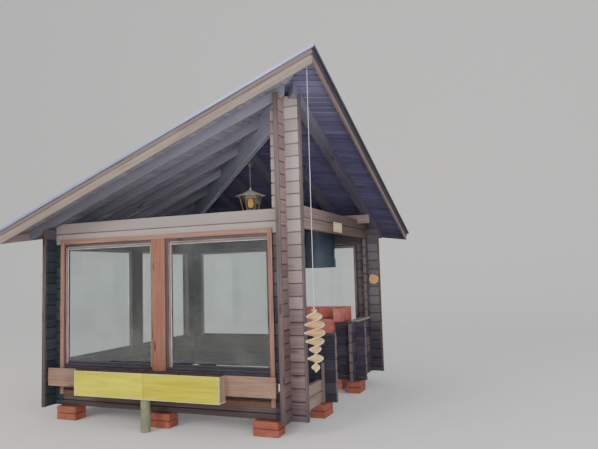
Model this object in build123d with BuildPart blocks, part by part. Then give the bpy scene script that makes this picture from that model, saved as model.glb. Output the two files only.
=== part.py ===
from build123d import *
from math import cos, pi, sin
import os

# Open grill shelter of planed logs, square on plan, with crossed corners.
# Two roof planes fold along the diagonal from the front right corner.
# Millimetres. +X is right along the front wall, +Y is back, +Z is up.
# The origin is under the middle of the roof, on the ground.

# Log walls
WALL_SIDE = 3340
LOG_T = 58
LOG_H = 140
LOG_GROOVE = 6
LOG_OUT = 180
END_BOARD_T = 20
ARM_IN = 125
COURSES = 15
SILL_COURSES = 2
BASE_Z = 165
BLOCK_L = 300
BLOCK_W = 190
BLOCK_IN = 290

# Roof
EAVE_FRONT = 560
EAVE_BACK = 330
EAVE_Z = 2203
RISE_ALONG = 0.384
RISE_ACROSS = 0.138
RAFTER_W = 45
RIGHT_RAFTER_W = 100
RAFTER_DEPTH = 120
LEFT_FIRST = 475
LEFT_PITCH = 630
RIGHT_FIRST = 445
RIGHT_PITCH = 600
BOARD_T = 22
COVER_T = 8
SHEET_GAP = 1
BARGE_T = 25
BARGE_STEP = 30
TRIM_H = 30
TRIM_W = 75
TRIM_OUT = 35
RIDGE_W = 70
RIDGE_DROP = 205
RIDGE_FRONT = 833
RIDGE_BACK = 250
GABLE_TOP = 3725

# Windows
CASING_W = 55
CASING_T = 20
CASING_LAP = 20
CASING_LOW = 305
CASING_HIGH = 2260
MULLION_W = 230
JAMB_W = 30
GLASS_LOW = 685
GLASS_HIGH = 2165
SASH_W = 35
SASH_T = 40
GLASS_T = 8

# Entrance side
STUB_Y = 970
STUB_IN = 250
LOW_COURSES = 6
ENTRY_END_Y = 2250
BACK_STUB_Y = 2450
BACK_STUB_IN = 190
BACK_STUB_OUT = 140
SLOT_Y = 3040
SLOT_LOW = 490
SLOT_H = 260
CAP_T = 26
CAP_OUT = 30
BATTEN = 34
BATTEN_H = 480
TIE_Y = 2740
STUB_LIFT = 30
PLAQUE_Y = 1580
PLAQUE_Z = 2290
PLAQUE_W = 330
PLAQUE_H = 132
PLAQUE_T = 16
SLICE_Z = 1612
SLICE_T = 18

# Planting shelf on the front wall
SHELF_Z = 437
SHELF_H = 218
SHELF_T = 30
SHELF_SHORT = 50
CLEAT_Z = 490
CLEAT_H = 100
CLEAT_T = 25
TROUGH_W = 985
TROUGH_H = 285
TROUGH_D = 140
TROUGH_WALL = 16
TROUGH_Z = 375
TROUGH_FIRST = 705
TROUGH_GAP = 6
PROP_D = 115
PROP_SHIFT = 18

# Fireplace
HEARTH_X = 270
HEARTH_W = 940
HEARTH_Y = 2550
HEARTH_D = 600
HEARTH_TOP = 1200
HEARTH_WALL = 110
HEARTH_FLOOR = 1035
HOOD_D = 612
HOOD_LOW = 1820
HOOD_RIM = 135
HOOD_RIM_OUT = 12
HOOD_SIDE = 430
HOOD_T = 5
FLUE_W = 150
FLUE_BACK = 360
FLUE_RISE = 350
FLUE_CLEAR = 0.3

# Lantern and hanging ornament
ROD_D = 16
ROD_START = 1000
ROD_END = 3755
HANGER_D = 6
LANTERN_ALONG = 2045
LANTERN_TOP = 2858
LANTERN_W = 385
LANTERN_ROOF = 93
LANTERN_RIM = 8
LANTERN_NECK_W = 44
LANTERN_BODY = 200
LANTERN_BODY_W = 290
LANTERN_FOOT_W = 190
LANTERN_SIDES = 6
LANTERN_KNOB = 33
LANTERN_KNOB_D = 26
HANG_X = 460
STRING_D = 6
ORNAMENT_TOP = 1410
ORNAMENT_LOW = 780
ORNAMENT_W = 205
ORNAMENT_LOWER_W = 155
ORNAMENT_WAIST = 965
ORNAMENT_TAIL = 868
ORNAMENT_TAIL_W = 80
ORNAMENT_KNOT = 25
SLAT_W = 16
SLAT_H = 9
SLAT_PITCH = 15
SLAT_TURN = 33
LOBE_FILL = 0.4
LOBE_TIP = 0.05
CORE_D = 12

# Derived places
HALF_BARGE = (WALL_SIDE + EAVE_FRONT + EAVE_BACK) / 2
HALF = HALF_BARGE + TRIM_OUT
RIGHT = HALF_BARGE - EAVE_FRONT
FRONT = -RIGHT
LEFT = RIGHT - WALL_SIDE
BACK = FRONT + WALL_SIDE
PEAK_Z = EAVE_Z + RISE_ALONG * 2 * HALF_BARGE
ROOF_T = RAFTER_DEPTH + BOARD_T + COVER_T
HALF_LOG = LOG_H / 2
LEVEL_A = BASE_Z + HALF_LOG
LEVEL_B = BASE_Z
BEAM_A = LEVEL_A + (COURSES - 1) * LOG_H
BEAM_B = LEVEL_B + COURSES * LOG_H
TOP_A = BEAM_A + 2 * LOG_H
TOP_B = BEAM_B + 2 * LOG_H
LAP_Z = (BEAM_A + TOP_B) / 2
SKY = PEAK_Z + ROOF_T + TRIM_H + LOG_H
END_BOARD_IN = LOG_OUT - END_BOARD_T
LOW_TOP = BASE_Z + LOW_COURSES * LOG_H

os.makedirs("parts", exist_ok=True)


def save(part, label):
    """Label a finished piece and write it."""
    part.label = label
    export_step(part, f"parts/{label}.step")


def left_plane(rise=0.0):
    """Roof plane over the left wall, lifted from the barge boards' lower edge."""
    return Plane(origin=(HALF_BARGE, -HALF_BARGE, PEAK_Z + rise), z_dir=(-RISE_ALONG, -RISE_ACROSS, 1))


def right_plane(rise=0.0):
    """Roof plane over the back wall, the mirror image of the left plane."""
    return Plane(origin=(HALF_BARGE, -HALF_BARGE, PEAK_Z + rise), z_dir=(RISE_ACROSS, RISE_ALONG, 1))


def ridge_plane(rise=0.0):
    """Plane that holds the ridge line and is level across it."""
    fall = (RISE_ALONG - RISE_ACROSS) / 2
    return Plane(origin=(HALF_BARGE, -HALF_BARGE, PEAK_Z + rise), z_dir=(-fall, fall, 1))


def diagonal(offset=0.0):
    """Upright plane through the ridge; its normal points to the right hand slope."""
    return Plane(origin=(offset, offset, 0), z_dir=(1, 1, 0))


def stack_outline(near, low, high, first):
    """Section of a stack of logs: two faces with a V groove at each joint."""
    joints = []
    level = first
    while level < high - LOG_GROOVE:
        if level > low + LOG_GROOVE:
            joints.append(level)
        level += LOG_H
    face = [(near, low)]
    for z in joints:
        face += [(near, z - LOG_GROOVE), (near + LOG_GROOVE, z), (near, z + LOG_GROOVE)]
    face.append((near, high))
    far = near + LOG_T
    back = [(far, high)]
    for z in reversed(joints):
        back += [(far, z + LOG_GROOVE), (far - LOG_GROOVE, z), (far, z - LOG_GROOVE)]
    back.append((far, low))
    return face + back


def logs_x(start, end, near, low, high, first=LEVEL_A):
    """Logs that run along X from start to end, with their front face at y = near."""
    with BuildPart() as run:
        with BuildSketch(Plane.YZ.offset(start)):
            with BuildLine():
                Polyline(*stack_outline(near, low, high, first), close=True)
            make_face()
        extrude(amount=end - start)
    return run.part


def logs_y(start, end, near, low, high, first=LEVEL_B):
    """Logs that run along Y from start to end, with their left face at x = near."""
    with BuildPart() as run:
        with BuildSketch(Plane.XZ.offset(-start)):
            with BuildLine():
                Polyline(*stack_outline(near, low, high, first), close=True)
            make_face()
        extrude(amount=-(end - start))
    return run.part


def block(x0, x1, y0, y1, z0, z1):
    """Plain block between two corners."""
    with BuildPart() as piece:
        with BuildSketch(Plane.XY.offset(z0)):
            with Locations(((x0 + x1) / 2, (y0 + y1) / 2)):
                Rectangle(x1 - x0, y1 - y0)
        extrude(amount=z1 - z0)
    return piece.part


def under_roof(solid):
    """What is left of a solid below the underside of both slopes."""
    with BuildPart() as piece:
        add(solid)
        split(bisect_by=left_plane(), keep=Keep.BOTTOM)
        split(bisect_by=right_plane(), keep=Keep.BOTTOM)
    return piece.part


# Ridge beam, square on its diagonal run, housed between the rafters
DIAGONAL = 2 * HALF_BARGE * 2 ** 0.5
with BuildPart() as ridge_beam:
    with BuildSketch(Plane.XY.rotated((0, 0, -45))):
        with Locations(((RIDGE_BACK - RIDGE_FRONT) / 2, 0)):
            Rectangle(DIAGONAL - RIDGE_FRONT - RIDGE_BACK, RIDGE_W)
    extrude(amount=SKY)
    split(bisect_by=left_plane(RAFTER_DEPTH), keep=Keep.BOTTOM)
    split(bisect_by=right_plane(RAFTER_DEPTH), keep=Keep.BOTTOM)
    split(bisect_by=ridge_plane(-RIDGE_DROP), keep=Keep.TOP)
save(ridge_beam.part, "ridge_beam")

# Foundation blocks beside the corners and under the wall middles and entrance stubs
MID_X = (LEFT + RIGHT) / 2
MID_Y = (FRONT + BACK) / 2
HALF_T = LOG_T / 2
BLOCKS_ALONG_X = [
    (x, y) for x in (LEFT + BLOCK_IN, MID_X, RIGHT - BLOCK_IN) for y in (FRONT + HALF_T, BACK - HALF_T)
]
BLOCKS_ALONG_Y = [
    (LEFT + HALF_T, MID_Y),
    (RIGHT - HALF_T, FRONT + STUB_Y + HALF_T),
    (RIGHT - HALF_T, FRONT + BACK_STUB_Y + HALF_T),
]
with BuildPart() as foundation_blocks:
    with BuildSketch(Plane.XY):
        with Locations(*BLOCKS_ALONG_X):
            Rectangle(BLOCK_L, BLOCK_W)
        with Locations(*BLOCKS_ALONG_Y):
            Rectangle(BLOCK_W, BLOCK_L)
    extrude(amount=BASE_Z)
save(foundation_blocks.part, "foundation_blocks")

# Corner posts: crossed log ends from the blocks up to the ring beams
CORNERS = {
    "corner_post_front_right": (RIGHT - LOG_T, FRONT, 1, -1),
    "corner_post_front_left": (LEFT, FRONT, -1, -1),
    "corner_post_back_right": (RIGHT - LOG_T, BACK - LOG_T, 1, 1),
    "corner_post_back_left": (LEFT, BACK - LOG_T, -1, 1),
}


def reach(near, side):
    """Start and end of a log end that passes a crossing wall at near."""
    if side > 0:
        return near - ARM_IN, near + LOG_T + END_BOARD_IN
    return near - END_BOARD_IN, near + LOG_T + ARM_IN


for label, (x, y, side_x, side_y) in CORNERS.items():
    along_x = logs_x(*reach(x, side_x), y, BASE_Z, BEAM_A)
    along_y = logs_y(*reach(y, side_y), x, BASE_Z, BEAM_B)
    lap = block(x, x + LOG_T, y, y + LOG_T, BEAM_A, BEAM_B)
    with BuildPart() as corner_post:
        add(along_x)
        add(along_y)
        add(lap, mode=Mode.SUBTRACT)
    save(corner_post.part, label)

# Ring beams: two logs each, half lapped where they cross, trimmed under the roof.
# On the left and back walls more logs follow up to the rising slope.
TIE_LOW = TOP_B - HALF_LOG
TIE = (FRONT + TIE_Y, FRONT + TIE_Y + LOG_T)


def beam_a(y, top):
    """Ring beam along X at y, notched for the beams along Y."""
    run = logs_x(LEFT - END_BOARD_IN, RIGHT + END_BOARD_IN, y, BEAM_A, top)
    with BuildPart() as beam:
        add(run)
        for x in (LEFT, RIGHT - LOG_T):
            add(block(x, x + LOG_T, y, y + LOG_T, LAP_Z, SKY), mode=Mode.SUBTRACT)
    return under_roof(beam.part)


def beam_b(x, top):
    """Ring beam along Y at x, notched for the beams along X and the tie beam."""
    run = logs_y(FRONT - END_BOARD_IN, BACK + END_BOARD_IN, x, BEAM_B, top)
    with BuildPart() as beam:
        add(run)
        for y in (FRONT, BACK - LOG_T):
            add(block(x, x + LOG_T, y, y + LOG_T, BASE_Z, LAP_Z), mode=Mode.SUBTRACT)
        add(block(x, x + LOG_T, *TIE, TIE_LOW, TIE_LOW + LOG_H), mode=Mode.SUBTRACT)
    return under_roof(beam.part)


save(beam_a(FRONT, TOP_A), "front_ring_beam")
save(beam_b(RIGHT - LOG_T, TOP_B), "right_ring_beam")
left_gable_start = block(LEFT, LEFT + LOG_T, FRONT - LOG_OUT, FRONT + LOG_T, TOP_B, SKY)
with BuildPart() as left_ring_beam:
    add(beam_b(LEFT, SKY))
    add(left_gable_start, mode=Mode.SUBTRACT)
    add(ridge_beam.part, mode=Mode.SUBTRACT)
save(left_ring_beam.part, "left_ring_beam")
with BuildPart() as back_ring_beam:
    add(beam_a(BACK - LOG_T, SKY))
    add(ridge_beam.part, mode=Mode.SUBTRACT)
save(back_ring_beam.part, "back_ring_beam")

# Sill logs between the corner posts
SILL_TOP_A = LEVEL_A + (SILL_COURSES - 1) * LOG_H
SILL_TOP_B = LEVEL_B + SILL_COURSES * LOG_H
BAY_X = (LEFT + LOG_T + ARM_IN, RIGHT - LOG_T - ARM_IN)
BAY_Y = (FRONT + LOG_T + ARM_IN, BACK - LOG_T - ARM_IN)
save(logs_x(*BAY_X, FRONT, BASE_Z, SILL_TOP_A), "front_sill_logs")
save(logs_x(*BAY_X, BACK - LOG_T, BASE_Z, SILL_TOP_A), "back_sill_logs")
save(logs_y(*BAY_Y, LEFT, BASE_Z, SILL_TOP_B), "left_sill_logs")
save(logs_y(BAY_Y[0], FRONT + STUB_Y, RIGHT - LOG_T, BASE_Z, SILL_TOP_B), "right_sill_logs")

# Entrance side: a short wall across at each side of the gap, and a low wall
STUB_X = (RIGHT - LOG_T - STUB_IN, RIGHT + LOG_OUT)
BACK_STUB_X = (RIGHT - LOG_T - BACK_STUB_IN, RIGHT + BACK_STUB_OUT)
save(logs_x(*STUB_X, FRONT + STUB_Y, BASE_Z, LOW_TOP, LEVEL_A + STUB_LIFT), "entrance_stub")
low_run = logs_y(FRONT + ENTRY_END_Y, BAY_Y[1], RIGHT - LOG_T, BASE_Z, LOW_TOP)
low_cross = logs_x(*BACK_STUB_X, FRONT + BACK_STUB_Y, BASE_Z, LOW_TOP)
slot = block(RIGHT - LOG_T, RIGHT, FRONT + SLOT_Y, BAY_Y[1], SLOT_LOW, SLOT_LOW + SLOT_H)
with BuildPart() as low_wall:
    add(low_run)
    add(low_cross)
    add(slot, mode=Mode.SUBTRACT)
save(low_wall.part, "low_wall")
cap_run = (RIGHT - LOG_T - CAP_OUT, RIGHT + CAP_OUT, FRONT + BACK_STUB_Y + LOG_T, BAY_Y[1])
save(block(*cap_run, LOW_TOP, LOW_TOP + CAP_T), "low_wall_cap")
batten_y = (FRONT + STUB_Y - BATTEN, FRONT + STUB_Y)
save(block(RIGHT, RIGHT + BATTEN, *batten_y, BASE_Z, BASE_Z + BATTEN_H), "corner_batten")
tie_run = logs_x(LEFT - LOG_OUT, RIGHT + LOG_OUT, TIE[0], TIE_LOW, TIE_LOW + LOG_H, TIE_LOW)
save(under_roof(tie_run), "tie_beam")

# Blank plaque on the beam over the entrance, and a slice of a log on the back stack
plaque_y = (FRONT + PLAQUE_Y, FRONT + PLAQUE_Y + PLAQUE_W)
save(block(RIGHT, RIGHT + PLAQUE_T, *plaque_y, PLAQUE_Z, PLAQUE_Z + PLAQUE_H), "blank_plaque")
SLICE_RIM = [(45, 84), (118, 70), (166, 34), (158, -42), (100, -74), (40, -68), (4, -20), (14, 48)]
with BuildPart() as wood_slice:
    with BuildSketch(Plane.XZ.offset(LOG_T - BACK)):
        with BuildLine():
            Polyline(*[(RIGHT + x, SLICE_Z + z) for x, z in SLICE_RIM], close=True)
        make_face()
    extrude(amount=SLICE_T)
save(wood_slice.part, "wood_slice")


def upright(axis, start, end, near, far, low, high):
    """Block in a wall: start to end along the wall, near to far through it."""
    if axis == "x":
        return block(start, end, near, far, low, high)
    return block(near, far, start, end, low, high)


def window(label, axis, bay, near, out, low, high):
    """Two fixed panes in a boarded frame: axis of the wall, its bay and its outward side."""
    start, end = bay
    middle = (start + end) / 2
    panes = [(start + JAMB_W, middle - MULLION_W / 2), (middle + MULLION_W / 2, end - JAMB_W)]
    face = near if out < 0 else near + LOG_T
    casing = sorted((face, face + out * CASING_T))
    with BuildPart() as frame:
        add(upright(axis, start, end, near, near + LOG_T, low, high))
        add(upright(axis, start - CASING_LAP, end + CASING_LAP, *casing, CASING_LOW, CASING_HIGH))
        for pane in panes:
            void = upright(axis, *pane, near - LOG_T, near + 2 * LOG_T, GLASS_LOW, GLASS_HIGH)
            add(void, mode=Mode.SUBTRACT)
        inner = upright(
            axis, start - CASING_LAP + CASING_W, end + CASING_LAP - CASING_W, *casing,
            CASING_LOW + CASING_W, CASING_HIGH - CASING_W,
        )
        add(inner, mode=Mode.SUBTRACT)
    save(frame.part, f"{label}_window_frame")
    mid = near + LOG_T / 2
    with BuildPart() as sash:
        for pane in panes:
            add(upright(axis, *pane, mid - SASH_T / 2, mid + SASH_T / 2, GLASS_LOW, GLASS_HIGH))
            light = (pane[0] + SASH_W, pane[1] - SASH_W)
            hole = upright(axis, *light, near, near + LOG_T, GLASS_LOW + SASH_W, GLASS_HIGH - SASH_W)
            add(hole, mode=Mode.SUBTRACT)
    save(sash.part, f"{label}_window_sashes")
    with BuildPart() as glass:
        for pane in panes:
            light = (pane[0] + SASH_W, pane[1] - SASH_W)
            sheet = (mid - GLASS_T / 2, mid + GLASS_T / 2)
            add(upright(axis, *light, *sheet, GLASS_LOW + SASH_W, GLASS_HIGH - SASH_W))
    save(glass.part, f"{label}_window_glass")


window("front", "x", BAY_X, FRONT, -1, SILL_TOP_A, BEAM_A)
window("back", "x", BAY_X, BACK - LOG_T, 1, SILL_TOP_A, BEAM_A)
window("left", "y", BAY_Y, LEFT, -1, SILL_TOP_B, BEAM_B)

# Rafters: parallel to the front on the left slope, and to the right side on the other
FLUE_SPOT = (RIGHT - HEARTH_X - HEARTH_W / 2, FRONT + HEARTH_Y + FLUE_BACK)
FLUE_HOLE = FLUE_W + 2 * FLUE_CLEAR
INSIDE = HALF_BARGE - BARGE_T
RIDGE_SIDE = RIDGE_W / 2 / 2 ** 0.5


def rafter_spots(first, pitch):
    """Distances of the rafters' middles from the middle of the roof."""
    count = int((INSIDE + HALF_BARGE - first - 2 * RAFTER_W) / pitch) + 1
    return [first + turn * pitch - HALF_BARGE for turn in range(count)]


with BuildPart() as left_rafters:
    with BuildSketch(Plane.XY):
        for y in rafter_spots(LEFT_FIRST, LEFT_PITCH):
            with Locations((0, y)):
                Rectangle(2 * INSIDE, RAFTER_W)
    extrude(amount=SKY)
    split(bisect_by=diagonal(-RIDGE_SIDE), keep=Keep.BOTTOM)
    split(bisect_by=left_plane(RAFTER_DEPTH), keep=Keep.BOTTOM)
    split(bisect_by=left_plane(), keep=Keep.TOP)
save(left_rafters.part, "left_rafters")
with BuildPart() as right_rafters:
    with BuildSketch(Plane.XY):
        for y in rafter_spots(RIGHT_FIRST, RIGHT_PITCH):
            with Locations((-y, 0)):
                Rectangle(RIGHT_RAFTER_W, 2 * INSIDE)
        with Locations(FLUE_SPOT):
            Rectangle(FLUE_HOLE, FLUE_HOLE, mode=Mode.SUBTRACT)
    extrude(amount=SKY)
    split(bisect_by=diagonal(RIDGE_SIDE), keep=Keep.TOP)
    split(bisect_by=right_plane(RAFTER_DEPTH), keep=Keep.BOTTOM)
    split(bisect_by=right_plane(), keep=Keep.TOP)
save(right_rafters.part, "right_rafters")

# Gable post: the crossed log ends go on above the ring beams, notched for rafters and ridge beam
gable_x = logs_x(*reach(RIGHT - LOG_T, 1), FRONT, TOP_A, GABLE_TOP)
gable_y = logs_y(*reach(FRONT, -1), RIGHT - LOG_T, TOP_B, GABLE_TOP)
gable_lap = block(RIGHT - LOG_T, RIGHT, FRONT, FRONT + LOG_T, BEAM_A, TOP_B)
with BuildPart() as gable_post:
    add(gable_x)
    add(gable_y)
    add(gable_lap, mode=Mode.SUBTRACT)
    for timber in (ridge_beam, left_rafters, right_rafters):
        add(timber.part, mode=Mode.SUBTRACT)
save(gable_post.part, "gable_post")

# Vertical boards over the outer log ends of each corner, up to the beams or between the rafters
END_TOPS = {
    "front_right": (GABLE_TOP, GABLE_TOP),
    "front_left": (TOP_A, SKY),
    "back_right": (SKY, TOP_B),
    "back_left": (SKY, SKY),
}
with BuildPart() as end_boards:
    for corner, (top_a, top_b) in END_TOPS.items():
        x, y, side_x, side_y = CORNERS[f"corner_post_{corner}"]
        end_x = (RIGHT + END_BOARD_IN, RIGHT + LOG_OUT)
        if side_x < 0:
            end_x = (LEFT - LOG_OUT, LEFT - END_BOARD_IN)
        end_y = (BACK + END_BOARD_IN, BACK + LOG_OUT)
        if side_y < 0:
            end_y = (FRONT - LOG_OUT, FRONT - END_BOARD_IN)
        pair = (block(*end_x, y, y + LOG_T, BASE_Z, top_a), block(x, x + LOG_T, *end_y, BASE_Z, top_b))
        for board in pair:
            if corner == "front_right":
                add(board)
            else:
                add(under_roof(board))
    add(right_rafters.part, mode=Mode.SUBTRACT)
save(end_boards.part, "log_end_boards")


def slope(half, keep, plane, low, high, flue):
    """One roof plane's sheet between two heights; the flue's slope is parted beside its hole."""
    with BuildPart() as sheet:
        with BuildSketch(Plane.XY):
            Rectangle(2 * half, 2 * half)
            if flue:
                with Locations(FLUE_SPOT):
                    Rectangle(FLUE_HOLE, FLUE_HOLE, mode=Mode.SUBTRACT)
                with Locations((0, FLUE_SPOT[1] - FLUE_HOLE / 2), (0, FLUE_SPOT[1] + FLUE_HOLE / 2)):
                    Rectangle(2 * half, SHEET_GAP, mode=Mode.SUBTRACT)
        extrude(amount=SKY)
        split(bisect_by=diagonal(), keep=keep)
        split(bisect_by=plane(high), keep=Keep.BOTTOM)
        split(bisect_by=plane(low), keep=Keep.TOP)
    return sheet.part


BOARDS = (RAFTER_DEPTH, RAFTER_DEPTH + BOARD_T)
COVER = (RAFTER_DEPTH + BOARD_T, ROOF_T)
save(slope(INSIDE, Keep.BOTTOM, left_plane, *BOARDS, False), "left_roof_boards")
save(slope(INSIDE, Keep.TOP, right_plane, *BOARDS, True), "right_roof_boards")
save(slope(INSIDE, Keep.BOTTOM, left_plane, *COVER, False), "left_roof_cover")
save(slope(INSIDE, Keep.TOP, right_plane, *COVER, True), "right_roof_cover")


def edge_strip(side, plane, outer, width, low, high):
    """Mitred strip along one edge of the roof, between two heights of its plane."""
    inner = outer - width
    corners = [(-outer, -outer), (outer, -outer), (inner, -inner), (-inner, -inner)]
    turn = {"front": 0, "right": 90, "back": 180, "left": 270}[side]
    with BuildPart() as strip:
        with BuildSketch(Plane.XY.rotated((0, 0, turn))):
            with BuildLine():
                Polyline(*corners, close=True)
            make_face()
        extrude(amount=SKY)
        split(bisect_by=plane(high), keep=Keep.BOTTOM)
        split(bisect_by=plane(low), keep=Keep.TOP)
    return strip.part


SIDES = {
    "front": (left_plane, 0),
    "left": (left_plane, 0),
    "right": (right_plane, BARGE_STEP),
    "back": (right_plane, BARGE_STEP),
}
for side, (plane, low) in SIDES.items():
    save(edge_strip(side, plane, HALF_BARGE, BARGE_T, low, ROOF_T), f"{side}_barge_board")
    save(edge_strip(side, plane, HALF, TRIM_W, ROOF_T, ROOF_T + TRIM_H), f"{side}_edge_trim")

# Planting shelf board between the log ends, two troughs and a round prop
shelf_x = (LEFT + LOG_T + SHELF_SHORT, RIGHT - LOG_T - SHELF_SHORT)
shelf_y = (FRONT - LOG_OUT, FRONT - LOG_OUT + SHELF_T)
with BuildPart() as shelf_board:
    add(block(*shelf_x, *shelf_y, SHELF_Z, SHELF_Z + SHELF_H))
    for start in (LEFT + LOG_T, RIGHT - LOG_T - 2 * SHELF_SHORT):
        cleat = (start, start + 2 * SHELF_SHORT, shelf_y[1], shelf_y[1] + CLEAT_T)
        add(block(*cleat, CLEAT_Z, CLEAT_Z + CLEAT_H))
save(shelf_board.part, "shelf_board")
with BuildPart() as planting_troughs:
    for turn in range(2):
        end = RIGHT - TROUGH_FIRST - turn * (TROUGH_W + TROUGH_GAP)
        front = shelf_y[0] - TROUGH_D
        add(block(end - TROUGH_W, end, front, shelf_y[0], TROUGH_Z, TROUGH_Z + TROUGH_H))
        hollow = block(
            end - TROUGH_W + TROUGH_WALL, end - TROUGH_WALL, front + TROUGH_WALL,
            shelf_y[0] - TROUGH_WALL, TROUGH_Z + TROUGH_WALL, TROUGH_Z + TROUGH_H,
        )
        add(hollow, mode=Mode.SUBTRACT)
save(planting_troughs.part, "planting_troughs")
with BuildPart() as trough_prop:
    with BuildSketch(Plane.XY):
        with Locations((RIGHT - TROUGH_FIRST - TROUGH_W - PROP_SHIFT, shelf_y[0] - TROUGH_D / 2)):
            Circle(PROP_D / 2)
    extrude(amount=TROUGH_Z)
save(trough_prop.part, "trough_prop")

# Brick fireplace, open to the front, with a round steel hood and a flue over it
hearth_right = RIGHT - HEARTH_X
hearth_left = hearth_right - HEARTH_W
hearth_front = FRONT + HEARTH_Y
hearth_back = hearth_front + HEARTH_D
with BuildPart() as brick_fireplace:
    add(block(hearth_left, hearth_right, hearth_front, hearth_back, 0, HEARTH_TOP))
    fire = block(
        hearth_left + HEARTH_WALL, hearth_right - HEARTH_WALL, hearth_front,
        hearth_back - HEARTH_WALL / 2, HEARTH_FLOOR, HEARTH_TOP,
    )
    add(fire, mode=Mode.SUBTRACT)
save(brick_fireplace.part, "brick_fireplace")

HOOD_SPOT = (FLUE_SPOT[0], hearth_front + HEARTH_D / 2)
HOOD_BOX = HOOD_LOW + HOOD_RIM
HOOD_END = HOOD_BOX + HOOD_SIDE
HOOD_RINGS = [(HOOD_LOW, HOOD_RIM, HOOD_D + 2 * HOOD_RIM_OUT), (HOOD_BOX, HOOD_SIDE, HOOD_D)]
with BuildPart() as hood:
    for low, height, across in HOOD_RINGS:
        with BuildSketch(Plane.XY.offset(low)):
            with Locations(HOOD_SPOT):
                Circle(across / 2)
        extrude(amount=height)
    with BuildSketch(Plane.XY.offset(HOOD_LOW)):
        with Locations(HOOD_SPOT):
            Circle(HOOD_D / 2 - HOOD_T)
    extrude(amount=HOOD_END - HOOD_T - HOOD_LOW, mode=Mode.SUBTRACT)
    with BuildSketch(Plane.XY.offset(HOOD_LOW)):
        with Locations(FLUE_SPOT):
            Rectangle(FLUE_W - 2 * HOOD_T, FLUE_W - 2 * HOOD_T)
    extrude(amount=HOOD_END - HOOD_LOW, mode=Mode.SUBTRACT)
save(hood.part, "hood")
roof_fall = RISE_ALONG * (FLUE_SPOT[1] + HALF_BARGE) - RISE_ACROSS * (HALF_BARGE - FLUE_SPOT[0])
FLUE_TOP = PEAK_Z - roof_fall + ROOF_T + FLUE_RISE
with BuildPart() as flue:
    with BuildSketch(Plane.XY.offset(HOOD_END)):
        with Locations(FLUE_SPOT):
            Rectangle(FLUE_W, FLUE_W)
            Rectangle(FLUE_W - 2 * HOOD_T, FLUE_W - 2 * HOOD_T, mode=Mode.SUBTRACT)
    extrude(amount=FLUE_TOP - HOOD_END)
save(flue.part, "flue")

# Lantern on a rod under the ridge beam, and the ornament on its string
def under_ridge(along, drop):
    """Point at a distance along the ridge on plan, a drop below the ridge line."""
    out = along / 2 ** 0.5
    fall = (RISE_ALONG - RISE_ACROSS) * out
    return Vector(HALF_BARGE - out, out - HALF_BARGE, PEAK_Z - fall - drop)


RIDGE_FALL = (RISE_ALONG - RISE_ACROSS) / 2 ** 0.5
ROD_DROP = RIDGE_DROP + ROD_D / 2 * (1 + RIDGE_FALL ** 2) ** 0.5
rod_start = under_ridge(ROD_START, ROD_DROP)
rod_run = under_ridge(ROD_END, ROD_DROP) - rod_start
with BuildPart() as ridge_rod:
    with BuildSketch(Plane(rod_start, z_dir=rod_run)):
        Circle(ROD_D / 2)
    extrude(amount=rod_run.length)
save(ridge_rod.part, "ridge_rod")

lantern_spot = under_ridge(LANTERN_ALONG, ROD_DROP)
with BuildPart() as lantern_hanger:
    with BuildSketch(Plane.XY.offset(LANTERN_TOP + LANTERN_KNOB)):
        with Locations((lantern_spot.X, lantern_spot.Y)):
            Circle(HANGER_D / 2)
    extrude(amount=lantern_spot.Z - LANTERN_TOP - LANTERN_KNOB)
    add(ridge_rod.part, mode=Mode.SUBTRACT)
save(lantern_hanger.part, "lantern_hanger")
eaves = LANTERN_TOP - LANTERN_ROOF
LANTERN_RINGS = [
    (eaves - LANTERN_BODY, LANTERN_FOOT_W),
    (eaves, LANTERN_BODY_W),
    (eaves, LANTERN_W),
    (eaves + LANTERN_RIM, LANTERN_W),
    (LANTERN_TOP, LANTERN_NECK_W),
]


def flat_sided(rings, spot, sides):
    """Closed solid of flat faces through regular polygons, each given by its height and width."""
    turns = [2 * pi * i / sides for i in range(sides)]
    corners = [[(spot.X + w / 2 * cos(a), spot.Y + w / 2 * sin(a), z) for a in turns] for z, w in rings]
    loops = [corners[0], corners[-1]]
    for low, high in zip(corners, corners[1:]):
        for i in range(sides):
            loops.append([low[i - 1], low[i], high[i], high[i - 1]])
    return Solid(Shell([Face(Wire.make_polygon(loop, close=True)) for loop in loops]))


with BuildPart() as lantern:
    add(flat_sided(LANTERN_RINGS, lantern_spot, LANTERN_SIDES))
    with BuildSketch(Plane.XY.offset(LANTERN_TOP)):
        with Locations((lantern_spot.X, lantern_spot.Y)):
            RegularPolygon(LANTERN_KNOB_D / 2, LANTERN_SIDES)
    extrude(amount=LANTERN_KNOB)
save(lantern.part, "lantern")

# Twisted ornament of thin slats on a core, hung on a string under the peak
hang = (RIGHT + HANG_X, FRONT - HANG_X)
STRING_TOP = under_ridge((EAVE_FRONT - HANG_X) * 2 ** 0.5, -RAFTER_DEPTH).Z
with BuildPart() as ornament_string:
    with BuildSketch(Plane.XY.offset(ORNAMENT_TOP)):
        with Locations(hang):
            Circle(STRING_D / 2)
    extrude(amount=STRING_TOP - ORNAMENT_TOP)
    split(bisect_by=left_plane(RAFTER_DEPTH), keep=Keep.BOTTOM)
    split(bisect_by=right_plane(RAFTER_DEPTH), keep=Keep.BOTTOM)
save(ornament_string.part, "ornament_string")
LOBES = [
    (ORNAMENT_WAIST, ORNAMENT_TOP - ORNAMENT_KNOT, ORNAMENT_W),
    (ORNAMENT_TAIL, ORNAMENT_WAIST - SLAT_H, ORNAMENT_LOWER_W),
    (ORNAMENT_LOW + CORE_D, ORNAMENT_TAIL - SLAT_H, ORNAMENT_TAIL_W),
]
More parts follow.
